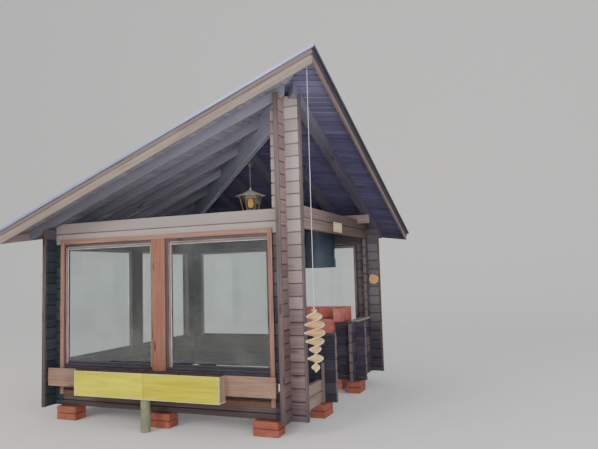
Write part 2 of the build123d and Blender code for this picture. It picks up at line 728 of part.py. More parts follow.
with BuildPart() as twist_ornament:
    with BuildSketch(Plane.XY.offset(ORNAMENT_LOW)):
        with Locations(hang):
            Rectangle(CORE_D, CORE_D)
    extrude(amount=ORNAMENT_TOP - ORNAMENT_LOW)
    for low, high, width in LOBES:
        steps = int((high - low) / SLAT_PITCH)
        for turn in range(steps + 1):
            across = width * max(sin(pi * turn / steps), LOBE_TIP) ** LOBE_FILL
            with BuildSketch(Plane.XY.offset(low + turn * (high - low - SLAT_H) / steps)):
                with Locations(hang):
                    Rectangle(across, SLAT_W, rotation=turn * SLAT_TURN)
            extrude(amount=SLAT_H)
save(twist_ornament.part, "twist_ornament")
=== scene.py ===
"""Looks of an open log grill shelter: logs, roof boards, glazing, planting shelf, fireplace and lantern.

Everything is in metres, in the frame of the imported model. Every wooden piece is a bar with eased edges that
carries three vectors at its points: its own grain coordinates, its half size and its random tone.
"""

from __future__ import annotations

import logging
import math
from collections.abc import Iterable, Sequence
from dataclasses import dataclass, field, replace
from enum import Enum
from functools import cache

import bmesh
import bpy
import numpy as np
from mathutils import Matrix, Vector

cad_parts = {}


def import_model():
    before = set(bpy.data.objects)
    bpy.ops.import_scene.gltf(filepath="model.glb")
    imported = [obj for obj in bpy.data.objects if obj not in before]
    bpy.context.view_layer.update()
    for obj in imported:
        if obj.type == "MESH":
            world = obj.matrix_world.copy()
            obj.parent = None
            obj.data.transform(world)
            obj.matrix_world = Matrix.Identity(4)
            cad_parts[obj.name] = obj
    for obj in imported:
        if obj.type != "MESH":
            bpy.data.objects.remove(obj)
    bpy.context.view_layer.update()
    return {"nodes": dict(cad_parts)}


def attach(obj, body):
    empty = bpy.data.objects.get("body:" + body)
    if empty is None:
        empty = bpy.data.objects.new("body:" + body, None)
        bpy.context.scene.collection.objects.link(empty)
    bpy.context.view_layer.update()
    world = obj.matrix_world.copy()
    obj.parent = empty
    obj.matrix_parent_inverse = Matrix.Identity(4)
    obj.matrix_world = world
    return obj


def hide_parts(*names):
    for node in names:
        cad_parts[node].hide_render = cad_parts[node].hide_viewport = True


log = logging.getLogger("shelter")
Point = tuple[float, float, float]
Span = tuple[float, float]
Box = tuple[Point, Point]
Socket = bpy.types.NodeSocket

# Outer faces of the four walls.
RIGHT = 1.555
FRONT = -1.555
LEFT = -1.785
BACK = 1.785
# A log, the joint over it, its eased edges, how far one strays sideways, and the least height of one.
LOG_T = 0.058
LOG_H = 0.140
LOG_GAP = 0.006
LOG_EASE = 0.009
LOG_SHIFT = 0.0008
THIN_LOG = 0.020
# The tongue in a joint, and how far a short one reaches up and down.
TONGUE_IN = 0.008
TONGUE_T = 0.014
BRIDGE = 0.050
# Points round a bar, and along it.
ROUND = 12
STATIONS = 4
# Log ends outside and inside the crossing wall, and the boards that cover them.
LOG_OUT = 0.180
ARM_IN = 0.125
END_BOARD = 0.020
# Heights: bottom of the walls, first joints, ring beams and their tops, along X and along Y.
BASE = 0.165
LEVEL_X = 0.235
LEVEL_Y = 0.165
BEAM_X = 2.195
BEAM_Y = 2.265
TOP_X = 2.475
TOP_Y = 2.545
# Roof: outer face of the barge boards, peak of the rafters' undersides, falls and layers.
BARGE = 2.115
PEAK = 3.82732
ALONG = 0.384
ACROSS = 0.138
RAFTER = 0.120
BOARD = 0.022
ROOF = 0.150
GABLE_TOP = 3.725
UP = (0.0, 0.0, 1.0)
# Inner faces of two walls, and the bays between the log ends.
NEAR_RIGHT = RIGHT - LOG_T
NEAR_BACK = BACK - LOG_T
BAY_X = (LEFT + LOG_T + ARM_IN, RIGHT - LOG_T - ARM_IN)
BAY_Y = (FRONT + LOG_T + ARM_IN, BACK - LOG_T - ARM_IN)


class Run(Enum):
    """Direction in which a wall's logs run."""

    X = "x"
    Y = "y"

    def point(self, along: float, side: float, height: float) -> Point:
        """Point given by its places along and across the wall."""
        return (along, side, height) if self is Run.X else (side, along, height)


class Slope(Enum):
    """The two roof planes, each by the rise of its surface along X and along Y."""

    LEFT = (ALONG, ACROSS)
    RIGHT = (-ACROSS, -ALONG)

    def point(self, x: float, y: float, rise: float = 0.0) -> Point:
        """Point of the plane over (x, y), lifted by rise."""
        return x, y, PEAK + rise + self.value[0] * (x - BARGE) + self.value[1] * (y + BARGE)

    @property
    def normal(self) -> Point:
        """Upward normal of the plane, not of unit length."""
        return -self.value[0], -self.value[1], 1.0

    def thick(self, upright: float) -> float:
        """Thickness square to the plane of a layer that measures upright vertically."""
        return upright / math.hypot(*self.value, 1.0)


@dataclass(frozen=True)
class Cut:
    """A plane that trims bars; what lies on its normal's side goes."""

    place: Point
    normal: Point


UNDER_ROOF = [Cut(slope.point(0, 0), slope.normal) for slope in Slope]
ONLY_LEFT = Cut((0, 0, 0), (1, 1, 0))
ONLY_RIGHT = Cut((0, 0, 0), (-1, -1, 0))
NOT_BACK = Cut((0, 0, 0), (-1, 1, 0))
NOT_FRONT = Cut((0, 0, 0), (1, -1, 0))


def linear(hex_colour: str) -> tuple[float, float, float, float]:
    """Turn an sRGB hex colour such as #A0B0C0 into linear RGBA."""
    parts = np.array([int(hex_colour[i : i + 2], 16) for i in (1, 3, 5)]) / 255
    parts = np.where(parts <= 0.04045, parts / 12.92, ((parts + 0.055) / 1.055) ** 2.4)
    return (*(float(part) for part in parts), 1.0)


def put(
    tree: bpy.types.NodeTree, kind: str, inputs: dict[str | int, object] | None = None, **settings: object
) -> bpy.types.Node:
    """Add one node.

    Args:
        tree: Node tree that gets the node.
        kind: Node type without its prefix ShaderNode, such as Math.
        inputs: Socket name or number to a value, a hex colour, or the output that feeds it.
        settings: Properties of the node itself.

    Returns:
        The new node.
    """
    node = tree.nodes.new("ShaderNode" + kind)
    for name, value in settings.items():
        setattr(node, name, value)
    for key, value in (inputs or {}).items():
        if isinstance(value, Socket):
            tree.links.new(value, node.inputs[key])
        else:
            node.inputs[key].default_value = linear(value) if isinstance(value, str) else value
    return node


class Graph:
    """Node tree of one new material, with one method for each kind of step."""

    def __init__(self, name: str) -> None:
        self.material = bpy.data.materials.new(name)
        self.material.use_nodes = True
        self.tree = self.material.node_tree
        self.tree.nodes.clear()

    def place(self) -> Socket:
        """Object coordinates."""
        return put(self.tree, "TexCoord").outputs["Object"]

    def stored(self, name: str) -> Socket:
        """The vector that the mesh stores under a name."""
        return put(self.tree, "Attribute", attribute_name=name).outputs["Vector"]

    def split(self, vector: Socket) -> bpy.types.NodeOutputs:
        """The three parts of a vector."""
        return put(self.tree, "SeparateXYZ", {0: vector}).outputs

    def math(self, operation: str, *values: Socket | float, clamp: bool = False) -> Socket:
        """Result of a sum or comparison of numbers."""
        inputs = dict(enumerate(values))
        return put(self.tree, "Math", inputs, operation=operation, use_clamp=clamp).outputs[0]

    def vector(self, operation: str, *values: Socket | Point) -> Socket:
        """Result of a sum of vectors."""
        return put(self.tree, "VectorMath", dict(enumerate(values)), operation=operation).outputs[0]

    def noise(
        self, vector: Socket, scale: float, detail: float, rough: float = 0.5, bend: float = 0.0
    ) -> Socket:
        """Noise value at a vector."""
        inputs = {"Vector": vector, "Scale": scale, "Detail": detail, "Roughness": rough, "Distortion": bend}
        return put(self.tree, "TexNoise", inputs).outputs["Fac"]

    def span(
        self, value: Socket, ends: Span = (0.0, 1.0), out: Span = (0.0, 1.0), smooth: bool = False
    ) -> Socket:
        """Value mapped from between ends to between out, and held there beyond them."""
        names = ("Value", "From Min", "From Max", "To Min", "To Max")
        inputs = dict(zip(names, (value, *ends, *out)))
        kind = "SMOOTHSTEP" if smooth else "LINEAR"
        return put(self.tree, "MapRange", inputs, interpolation_type=kind).outputs[0]

    def mix(self, share: Socket, first: Socket | str, second: str) -> Socket:
        """Colour blended from first towards second by share."""
        return put(self.tree, "Mix", {0: share, 6: first, 7: second}, data_type="RGBA").outputs[2]

    def bump(self, height: Socket, strength: float, depth_mm: float) -> Socket:
        """Normal of a relief that is depth_mm deep."""
        inputs = {"Height": height, "Strength": strength, "Distance": depth_mm / 1000}
        return put(self.tree, "Bump", inputs).outputs[0]

    def surface(self, inputs: dict[str, object]) -> Socket:
        """Principled shader."""
        return put(self.tree, "BsdfPrincipled", inputs).outputs[0]

    def close(self, shader: Socket) -> bpy.types.Material:
        """Feed the output and return the material."""
        put(self.tree, "OutputMaterial", {"Surface": shader})
        return self.material


@dataclass(frozen=True)
class Wood:
    """Sawn or planed wood that follows each bar's own grain.

    Streaks are noise stretched along the bar, knots are the cores of long cells, the edges and the joints
    between bars have their own colour, the sawn ends too, and the stain fades to the weathered colour in
    patches and with height. On the logs and the slats a dark edge colour is painted shade in the joints and a
    pale one a painted highlight, a pale end colour on the shaded logs and the slat tips is painted light, and
    on the roof timbers the fade with height is painted light towards the peak. rim holds the edge's width in
    mm and its strength, lighten_with_height the share of weathered colour and the heights that it grows
    between, low_darkening the share of a dark colour towards the ground, and shade a share of the knot
    colour, as painted shade, and the places along Y that it grows between.
    """

    name: str
    dark: str
    light: str
    knot: str
    weathered: str
    edge: str = "#1A1412"
    rim: Span = (7.0, 0.6)
    fade: float = 0.3
    spread: float = 0.05
    streak_mm: float = 14.0
    streak_length: float = 0.55
    knots: float = 0.35
    roughness: float = 0.68
    relief_mm: float = 0.7
    low_darkening: float = 0.0
    lighten_with_height: Point = (0.0, 1.2, 2.8)
    shade: Point = (0.0, -0.85, 0.0)
    end: str | None = None
    end_mm: float = 3.0

    def build(self) -> bpy.types.Material:
        """Return the material."""
        g = Graph(self.name)
        grain, half, tone = (g.stored(name) for name in ("grain", "half", "tone"))
        place = g.place()
        _, y, height = g.split(place)
        tones = g.split(tone)
        moved = g.vector("MULTIPLY_ADD", tone, (37.0, 23.0, 31.0), grain)
        across = 1000 / self.streak_mm
        long = g.vector("MULTIPLY", moved, (1 / self.streak_length, across, across))
        streak = g.noise(long, 1.0, 5.0, 0.62, 0.6)
        fine = g.noise(g.vector("MULTIPLY", moved, (6.0, across * 4, across * 4)), 1.0, 3.0)
        colour = g.mix(g.span(streak, (0.3, 0.72), smooth=True), self.dark, self.light)
        spots = g.vector("MULTIPLY", moved, (2.1, 8.5, 8.5))
        cells = put(g.tree, "TexVoronoi", {"Vector": spots, "Scale": 1.0})
        core = g.span(cells.outputs["Distance"], (0.17, 0.08), smooth=True)
        knot = g.math("MULTIPLY", core, g.math("LESS_THAN", g.split(cells.outputs["Color"])[0], self.knots))
        colour = g.mix(knot, colour, self.knot)
        patches = g.math("MULTIPLY_ADD", g.noise(place, 2.3, 4.0), tones[1], -0.45)
        faded = g.span(patches, (-0.35, 0.15), (0.0, self.fade))
        # Lighter towards the weathered colour with height; on the roof timbers this is painted light towards
        # the peak.
        bleached = g.span(height, self.lighten_with_height[1:], (0.0, self.lighten_with_height[0]))
        colour = g.mix(g.math("ADD", faded, bleached, clamp=True), colour, self.weathered)
        bright = g.span(tones[0], out=(1 - self.spread, 1 + self.spread))
        colour = put(g.tree, "VectorMath", {0: colour, "Scale": bright}, operation="SCALE").outputs[0]
        inside = g.split(g.vector("SUBTRACT", half, g.vector("ABSOLUTE", grain)))
        # Edge colour: on the logs and slats a dark one is painted shade in the joints, a pale one a painted
        # highlight.
        edge = self.rim[0] / 1000
        margin = g.math("MULTIPLY_ADD", fine, edge, g.math("MAXIMUM", inside[1], inside[2]))
        colour = g.mix(g.span(margin, (edge, edge / 2.2), (0.0, self.rim[1])), colour, self.edge)
        # End colour: a pale one on the shaded logs and the slat tips is painted light.
        if self.end:
            sawn = g.span(inside[0], (self.end_mm / 700, self.end_mm / 1000), (0.0, 0.9))
            colour = g.mix(sawn, colour, self.end)
        # Darker towards the ground.
        colour = g.mix(g.span(height, (0.45, 0.15), (0.0, self.low_darkening), smooth=True), colour, "#2C262A")
        # Painted shade along Y, deepest towards the back.
        if self.shade[0]:
            colour = g.mix(g.span(y, self.shade[1:], (0.0, self.shade[0])), colour, self.knot)
        rough = g.span(fine, out=(self.roughness - 0.1, self.roughness + 0.12))
        normal = g.bump(g.math("MULTIPLY_ADD", knot, -0.6, g.math("ADD", streak, fine)), 0.8, self.relief_mm)
        return g.close(g.surface({"Base Color": colour, "Roughness": rough, "Normal": normal, "IOR": 1.45}))


@dataclass(frozen=True)
class Coat:
    """A plain solid finish with speckle, soft patches and a little relief, all in object coordinates."""

    name: str
    base: str
    patch: str
    speck: str | None = None
    patch_mm: float = 180.0
    speck_mm: float = 4.0
    speck_share: float = 0.5
    roughness: float = 0.5
    metallic: float = 0.0
    coat: float = 0.0
    relief_mm: float = 0.3
    glow: float = 0.0

    def build(self) -> bpy.types.Material:
        """Return the material."""
        g = Graph(self.name)
        place = g.place()
        patches = g.noise(place, 1000 / self.patch_mm, 5.0, 0.6)
        colour = g.mix(g.span(patches, (0.35, 0.68), smooth=True), self.base, self.patch)
        specks = g.noise(place, 1000 / self.speck_mm, 2.0)
        if self.speck:
            colour = g.mix(g.span(specks, (0.48, 0.66), (0.0, self.speck_share)), colour, self.speck)
        inputs = {
            "Base Color": colour,
            "Roughness": g.span(patches, out=(self.roughness - 0.08, self.roughness + 0.1)),
            "Normal": g.bump(specks, 0.6, self.relief_mm),
            "Metallic": self.metallic,
            "Coat Weight": self.coat,
            "Coat Roughness": 0.2,
        }
        if self.glow:
            inputs |= {"Emission Color": self.base, "Emission Strength": self.glow}
        return g.close(g.surface(inputs))


@dataclass(frozen=True)
class Glass:
    """Clear glass, faintly tinted, with a little dust that scatters light."""

    name: str
    tint: str = "#E4ECEA"
    veil: str = "#BFC3BE"
    dust: float = 0.06

    def build(self) -> bpy.types.Material:
        """Return the material."""
        g = Graph(self.name)
        dirt = g.noise(g.place(), 3.0, 6.0)
        rough = g.span(dirt, out=(0.0, 0.04))
        clear = {"Base Color": self.tint, "Roughness": rough, "Transmission Weight": 1.0, "IOR": 1.52}
        layers = [g.surface(inputs) for inputs in (clear, {"Base Color": self.veil, "Roughness": 0.7})]
        share = g.span(dirt, (0.4, 0.75), (0.0, self.dust))
        return g.close(put(g.tree, "MixShader", {0: share, 1: layers[0], 2: layers[1]}).outputs[0])


# Planed logs: translucent brown stain, greyed by sun and rain higher up, with painted shade in the joints.
LOG_STAIN = Wood(
    "stained planed spruce logs", "#564548", "#7A6365", "#3A2B30", "#ACA19C", "#17121A", (11, 0.95),
    spread=0.12, knots=0.6, streak_length=0.9, low_darkening=0.6, lighten_with_height=(0.8, 1.2, 2.8), end="#725C56",
)
# Log arms that point to the front: the stain keeps its red brown on their sides, with painted shade in the
# joints.
ARM_STAIN = Wood(
    "red brown stained log arms", "#4E3B39", "#705856", "#2E2022", "#937D78", "#17121A", (10, 0.9),
    spread=0.14, streak_length=0.9, low_darkening=0.6, lighten_with_height=(0.6, 1.2, 2.8), end="#5E4A46",
)
# The same logs where the roof shades them: painted shade in blue black, with painted highlights along the
# joints and painted light on the paler ends.
PAINTED_SHADE_LOGS = Wood(
    "logs with painted shade and painted joint highlights", "#201A27", "#36303E", "#131016", "#7A7678", "#8A8290", (14, 0.45),
    fade=0.22, spread=0.18, streak_length=0.9, low_darkening=0.3, lighten_with_height=(0.4, 1.2, 2.8), end="#6A5E5A",
)
# Back right corner: painted shade, darkest below about 1 m and brown grey above it, with painted shade in the
# joints and painted light on the paler ends.
BACK_CORNER_PAINTED_SHADE = Wood(
    "back corner logs with painted shade", "#26222C", "#38343E", "#131016", "#6E6A6A", "#100C14", (10, 0.95),
    fade=0.15, spread=0.18, streak_length=0.9, lighten_with_height=(0.7, 0.75, 1.15), end="#6A5E5A",
)
# Front left corner: the same painted shade in blue green, with faint painted highlights along the joints.
FRONT_LEFT_PAINTED_SHADE = Wood(
    "front corner logs with blue green painted shade", "#1E272D", "#303D44", "#10161A", "#4A5658", "#4E5A62", (5, 0.5),
    spread=0.14, streak_length=0.9,
)
# Sill logs behind the shelf: dark brown, darkened with painted shade, with painted shade in the joints.
SILL_PAINTED_SHADE = Wood(
    "sill logs with painted shade", "#3C302E", "#5C4C48", "#241C1B", "#756660", "#15101A", (7, 0.9),
    fade=0.45, spread=0.12, streak_length=0.9, low_darkening=0.4,
)
# Logs of the entrance side: the stain keeps its brown there, with painted shade in the joints.
BEAM_STAIN = Wood(
    "brown stained ring beam logs", "#705D56", "#96847B", "#40332E", "#A39890", "#1C1618", (7, 0.9),
    fade=0.4, spread=0.08, streak_length=0.9, end="#8A7C78",
)
# Ring beam over the entrance: the same stain, with painted shade that deepens towards the back under the
# roof.
RING_BEAM_PAINTED_SHADE = replace(BEAM_STAIN, name="ring beam logs with painted shade at the back", shade=(0.75, -0.85, 0.0))
# Boards over the log ends: the same stain on raw sawn edges, streakier.
END_STAIN = Wood(
    "stained cover boards", "#2E2424", "#5E4F4D", "#1A1314", "#776C68", "#1E1719",
    spread=0.10, streak_mm=9, knots=0.5, relief_mm=1.2, low_darkening=0.4, lighten_with_height=(0.25, 2.1, 2.8),
)
# Rafters of the slope by the big window, and its soffit boards: their blue grey and their lightness are
# painted sky light over the stain, the boards paler still, and both lighter towards the peak as painted
# light.
LEFT_RAFTERS_PAINTED_LIGHT = Wood(
    "rafters with painted sky light", "#57565F", "#716F7A", "#3A3842", "#9A99A6", "#302D38", (5, 0.5),
    fade=0.2, spread=0.10, lighten_with_height=(0.5, 2.6, 3.4),
)
LEFT_SOFFIT_PAINTED_LIGHT = Wood(
    "soffit boards with painted sky light", "#74737E", "#94929C", "#4A4852", "#AEADB8", "#5C5A64", (4, 0.2),
    spread=0.10, lighten_with_height=(0.4, 2.6, 3.4),
)
# Ridge beam, its pale blue grey painted sky light, and the rafters over the entrance, darker and browner:
# painted shade, tinted by painted sky light and lighter towards the peak as painted light.
RIDGE_PAINTED_LIGHT = Wood(
    "ridge timber with painted sky light", "#848594", "#A6A8B8", "#606275", "#B0B3C3", "#5E6072", (5, 0.6),
    spread=0.10,
)
RIGHT_RAFTERS_PAINTED_SHADE = Wood(
    "rafters with painted shade and sky light", "#443E4C", "#605868", "#26212A", "#7E7D8C", "#221E2A", (5, 0.5),
    fade=0.15, spread=0.08, lighten_with_height=(0.9, 3.25, 3.65),
)
# Soffit boards over the entrance: painted shade tinted blue by painted sky light and lighter towards the peak
# as painted light; thin pale strips along some joints are painted highlights on the board edges.
RIGHT_SOFFIT_PAINTED_SHADE = Wood(
    "soffit boards with painted shade and sky light", "#423E5E", "#5E5A7C", "#2A2740", "#7C7B96", "#211E34", (4, 0.6),
    fade=0.25, spread=0.16, lighten_with_height=(0.6, 3.3, 3.85),
)
SOFFIT_PAINTED_HIGHLIGHTS = Wood(
    "painted highlight strips between soffit boards", "#8E8AA0", "#AEAAC0", "#7A768C", "#B4B0C4", rim=(7, 0), spread=0.2,
    knots=0.0, relief_mm=0.2,
)
# Barge boards of the slope by the big window: sun bleached stain, the upper one darker with painted shade
# under the steel edge.
BARGE_STAIN = Wood(
    "sun bleached barge boards", "#786A62", "#988980", "#57494A", "#A59C96", "#5C5056", (5, 0.6), fade=0.5,
)
UPPER_BARGE_PAINTED_SHADE = Wood(
    "upper barge boards with painted shade", "#665A56", "#84766F", "#46393A", "#928A84", "#4A4046", (4, 0.6), fade=0.5,
)
# Barge boards of the other slope: they keep their brown, and the upper one is nearly black with painted shade
# under the steel edge; the same painted shade serves the back barge's lower board.
BROWN_BARGE_STAIN = Wood(
    "brown stained barge boards", "#5C4C4A", "#7E6A64", "#30262A", "#8A7A76", "#2C2430", (6, 0.7),
    fade=0.4, spread=0.06,
)
DARK_BARGE_PAINTED_SHADE = Wood(
    "upper barge boards with dark painted shade", "#2E2830", "#443C46", "#1A161C", "#544C54", "#221D26", (4, 0.5),
    fade=0.4, spread=0.06,
)
# Window casings: reddish brown stain with knots, fresher than the logs; the lowest board is darker.
CASING_STAIN = Wood(
    "reddish stained casing boards", "#765344", "#A07A6A", "#452A24", "#B09484", "#4A3230", (4, 0.6),
    spread=0.06, knots=0.45,
)
LOW_CASING_STAIN = Wood(
    "dark lowest casing boards", "#4A3024", "#6E4C3C", "#2E1C16", "#7E6250", "#2A1A14", (4, 0.5), spread=0.06,
)
# Post between the panes: the reddest board, with dark knots.
MULLION_STAIN = Wood(
    "red brown stained mullion board", "#6E4032", "#96624E", "#3B2018", "#9C7664", "#4A2A22", (4, 0.6),
    fade=0.25, knots=0.95,
)
# Sashes: worn brown stain, rubbed pale along the edges.
SASH_STAIN = Wood(
    "worn sashes with pale edges", "#5A4C4A", "#7A6A66", "#3A2D2C", "#8A7E7A", "#DAD8D4", (15, 0.95),
    knots=0.1, roughness=0.5, relief_mm=0.4,
)
# Shelf board: brown stain worn down to pale fibres, its edges rubbed.
SHELF_STAIN = Wood(
    "worn stained shelf board", "#5A3F32", "#946F5A", "#3A261E", "#C2A896", "#BCA898", (6, 0.5),
    fade=0.5, spread=0.06, streak_mm=9, knots=0.7, relief_mm=1.2,
)
# Trough fronts: glossy yellow paint, brushed along the boards in soft bands.
TROUGH_PAINT = Wood(
    "brushed yellow paint on boards", "#A8A000", "#D6CE0A", "#8C8020", "#E0DA28", "#8C8430", (3, 0.3),
    fade=0.35, spread=0.04, streak_mm=70, streak_length=0.9, knots=0.0, roughness=0.4, relief_mm=0.4,
)
# Trough ends, and the pale strips that edge them.
TROUGH_END = Wood(
    "bare greyed trough ends", "#7C685C", "#9A8678", "#5A4A40", "#A89488", rim=(7, 0.2), fade=0.4,
)
STRIP_PAINT = Wood(
    "pale painted strips", "#B8B48C", "#D0CCA6", "#A09C7A", "#D2CEB0", rim=(7, 0.1), knots=0.0, relief_mm=0.3,
)
# Ornament slats: thin varnished wood, orange in the middle, with painted highlights white at the tips and
# pale along the edges.
SLAT_WOOD = Wood(
    "thin varnished wood slats", "#C89648", "#E6C27E", "#8C6030", "#E2D0A6", "#D9CDB0", (3, 0.5),
    fade=0.4, spread=0.16, streak_mm=5, knots=0.0, relief_mm=0.3, end="#DCE0CE", end_mm=7.0,
)
# Plaque and the slice of a log: bare light wood.
PLAQUE_WOOD = Wood(
    "bare light wood", "#B09470", "#DCCBA8", "#6E5640", "#CDC6A8", "#6A5440", (6, 0.6),
    fade=0.4, relief_mm=1.2,
)
SLICE_WOOD = Wood(
    "cut face of a log", "#B88A54", "#D8AA70", "#7A5A3C", "#CCAC84", rim=(7, 0), streak_mm=22, relief_mm=0.6,
)
# Roofing felt: bitumen sheet with a slate grain top.
ROOF_FELT = Coat(
    "mineral roofing felt", "#2B2C2F", "#3A3C40", "#5B5E63", speck_mm=6, roughness=0.9, relief_mm=2
)
# Roof edge: folded coated steel, satin, its pale blue a painted reflection of the sky.
EDGE_METAL = Coat(
    "coated steel edge with painted sky reflection", "#8E98C8", "#808ABC", "#A4ACD0", speck_share=0.25, roughness=0.35,
    metallic=0.15, coat=0.2, relief_mm=0.1,
)
# The same edge on the slope over the entrance: dark with painted shade, with a thin painted highlight on its
# upper corner.
EDGE_METAL_PAINTED_SHADE = Coat(
    "coated steel edge with painted shade", "#3C3A46", "#484654", "#5C5A68", speck_share=0.25, roughness=0.45, metallic=0.1,
    relief_mm=0.1,
)
EDGE_PAINTED_HIGHLIGHT = Coat(
    "painted highlight on the corner of the steel edge", "#C9CCD4", "#B4B8C4", "#DADCE2", speck_share=0.4, roughness=0.4,
    metallic=0.2, relief_mm=0.1,
)
# Bricks: hard fired red clay with a sanded face, the lime mortar between them, and the weathered footings.
RED_BRICK = Coat(
    "red fired brick", "#C2685C", "#D48274", "#94483C", patch_mm=130, speck_mm=7, roughness=0.85,
    relief_mm=1.5,
)
MORTAR = Coat("grey lime mortar", "#8F857C", "#A39A90", "#6E655D", speck_mm=5, roughness=0.92, relief_mm=1.5)
BLOCK_BRICK = Coat(
    "weathered fired brick", "#884A3A", "#9C5C48", "#60362C", patch_mm=120, speck_mm=6, roughness=0.85,
    relief_mm=1.5,
)
# Hood and flue: sheet steel under heat resistant paint, blue black and sooty.
HOOD_STEEL = Coat(
    "heat resistant paint on sheet steel", "#2A3947", "#212E3A", "#364553", patch_mm=300, metallic=0.1,
    relief_mm=0.2,
)
# Rod and hanger: bare bright drawn steel.
ROD_STEEL = Coat("drawn steel rod", "#A8A8A6", "#8E8E8C", roughness=0.4, metallic=0.3, relief_mm=0.05)
# Lantern: brass sheet gone dull and greenish, and blackened on its bars and foot.
BRASS = Coat(
    "dull green brass", "#CCCCB8", "#AAB096", "#E0DEC4", patch_mm=60, speck_mm=6, roughness=0.42,
    metallic=0.1, relief_mm=0.2,
)
DARK_BRASS = Coat(
    "blackened brass", "#8A8870", "#6E6E56", "#A8A488", patch_mm=60, speck_mm=6, metallic=0.3, relief_mm=0.2
)
# Lamp bulb: warm frosted glass.
BULB = Coat("warm frosted bulb", "#F2C77A", "#E8B765", roughness=0.3, relief_mm=0.02, glow=1.6)
# Hanging string: twisted cotton, pale.
STRING = Coat(
    "twisted cotton string", "#C8C6C8", "#B4B2B8", "#D8D6D8", speck_mm=3, roughness=0.9, relief_mm=0.6
)
# Potting soil in the troughs.
SOIL = Coat(
    "potting soil", "#2E241C", "#43352A", "#5A493A", patch_mm=40, speck_mm=7, roughness=0.95, relief_mm=6
)
# Bark round the slice of a log.
BARK = Coat(
    "rough dark bark", "#2E211A", "#4A372B", "#5E4A3B", patch_mm=25, speck_mm=5, roughness=0.9, relief_mm=3
)
# Panes: float glass with some dust, and the lantern's thin glass.
PANE = Glass("float glass panes")
LANTERN_GLASS = Glass("smoky lantern glass", tint="#B0A284", veil="#8E8068", dust=0.55)
# Concrete prop: cast in a tube, greenish grey.
PROP_CONCRETE = Coat(
    "cast concrete with algae", "#70755A", "#82866C", "#5A5F48", patch_mm=70, speck_mm=5, roughness=0.9,
    relief_mm=1.5,
)
Finish = Wood | Coat | Glass


@cache
def material(finish: Finish) -> bpy.types.Material:
    """Material of a finish, built once."""
    return finish.build()


def show(piece: bpy.types.Object, finish: Finish, nodes: Sequence[str] = ()) -> bpy.types.Object:
    """Dress a new piece, let it ride on the building and stand for CAD nodes.

    Args:
        piece: Object with its place in its mesh.
        finish: Its finish.
        nodes: CAD nodes that it stands for.

    Returns:
        The piece.
    """
    piece.data.materials.append(material(finish))
    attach(piece, "root")
    if nodes:
        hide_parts(*nodes)
    log.info("%s: %s", piece.name, finish.name)
    return piece


def mesh_piece(name: str, points: np.ndarray, faces: Iterable, smooth: bool = False) -> bpy.types.Object:
    """Put points and faces into a new object at the origin.

    Args:
        name: Name of the piece.
        points: Array (n, 3) in metres.
        faces: Rows of point numbers, wound outwards.
        smooth: Whether faces are shaded smooth.

    Returns:
        The object, linked to the scene.
    """
    mesh = bpy.data.meshes.new(name)
    mesh.from_pydata(np.asarray(points, float).tolist(), [], [list(map(int, row)) for row in faces])
    if smooth:
        mesh.shade_smooth()
    piece = bpy.data.objects.new(name, mesh)
    bpy.context.scene.collection.objects.link(piece)
    return piece


def grid_faces(rows: int, columns: int, wrap: bool = False) -> np.ndarray:
    """Quads of a grid of rows by columns points; wrap joins the last column to the first."""
    row, column = np.meshgrid(np.arange(rows - 1), np.arange(columns if wrap else columns - 1), indexing="ij")
    low, right = row * columns, (column + 1) % columns
    high = low + columns
    return np.stack([low + column, low + right, high + right, high + column], -1).reshape(-1, 4)


def set_vectors(mesh: bpy.types.Mesh, name: str, values: np.ndarray) -> None:
    """Store one vector for each point of a mesh under a name."""
    layer = mesh.attributes.new(name, "FLOAT_VECTOR", "POINT")
    layer.data.foreach_set("vector", np.ascontiguousarray(values, np.float32).ravel())


def trim(mesh: bpy.types.Mesh, cuts: Sequence[Cut]) -> None:
    """Cut a mesh of closed shells by planes and close each cut."""
    work = bmesh.new()
    work.from_mesh(mesh)
    for cut in cuts:
        geometry = work.verts[:] + work.edges[:] + work.faces[:]
        found = bmesh.ops.bisect_plane(
            work, geom=geometry, dist=1e-6, plane_co=cut.place, plane_no=Vector(cut.normal).normalized(),
            clear_outer=True,
        )
        edges = [part for part in found["geom_cut"] if isinstance(part, bmesh.types.BMEdge)]
        bmesh.ops.holes_fill(work, edges=[edge for edge in edges if edge.is_boundary], sides=0)
    bmesh.ops.recalc_face_normals(work, faces=work.faces[:])
    work.to_mesh(mesh)
    work.free()


@dataclass(frozen=True)
class Bar:
    """A straight piece of wood: its middle line, its width to the side and its height towards up."""

    start: Point
    end: Point
    width: float
    height: float
    up: Point = UP


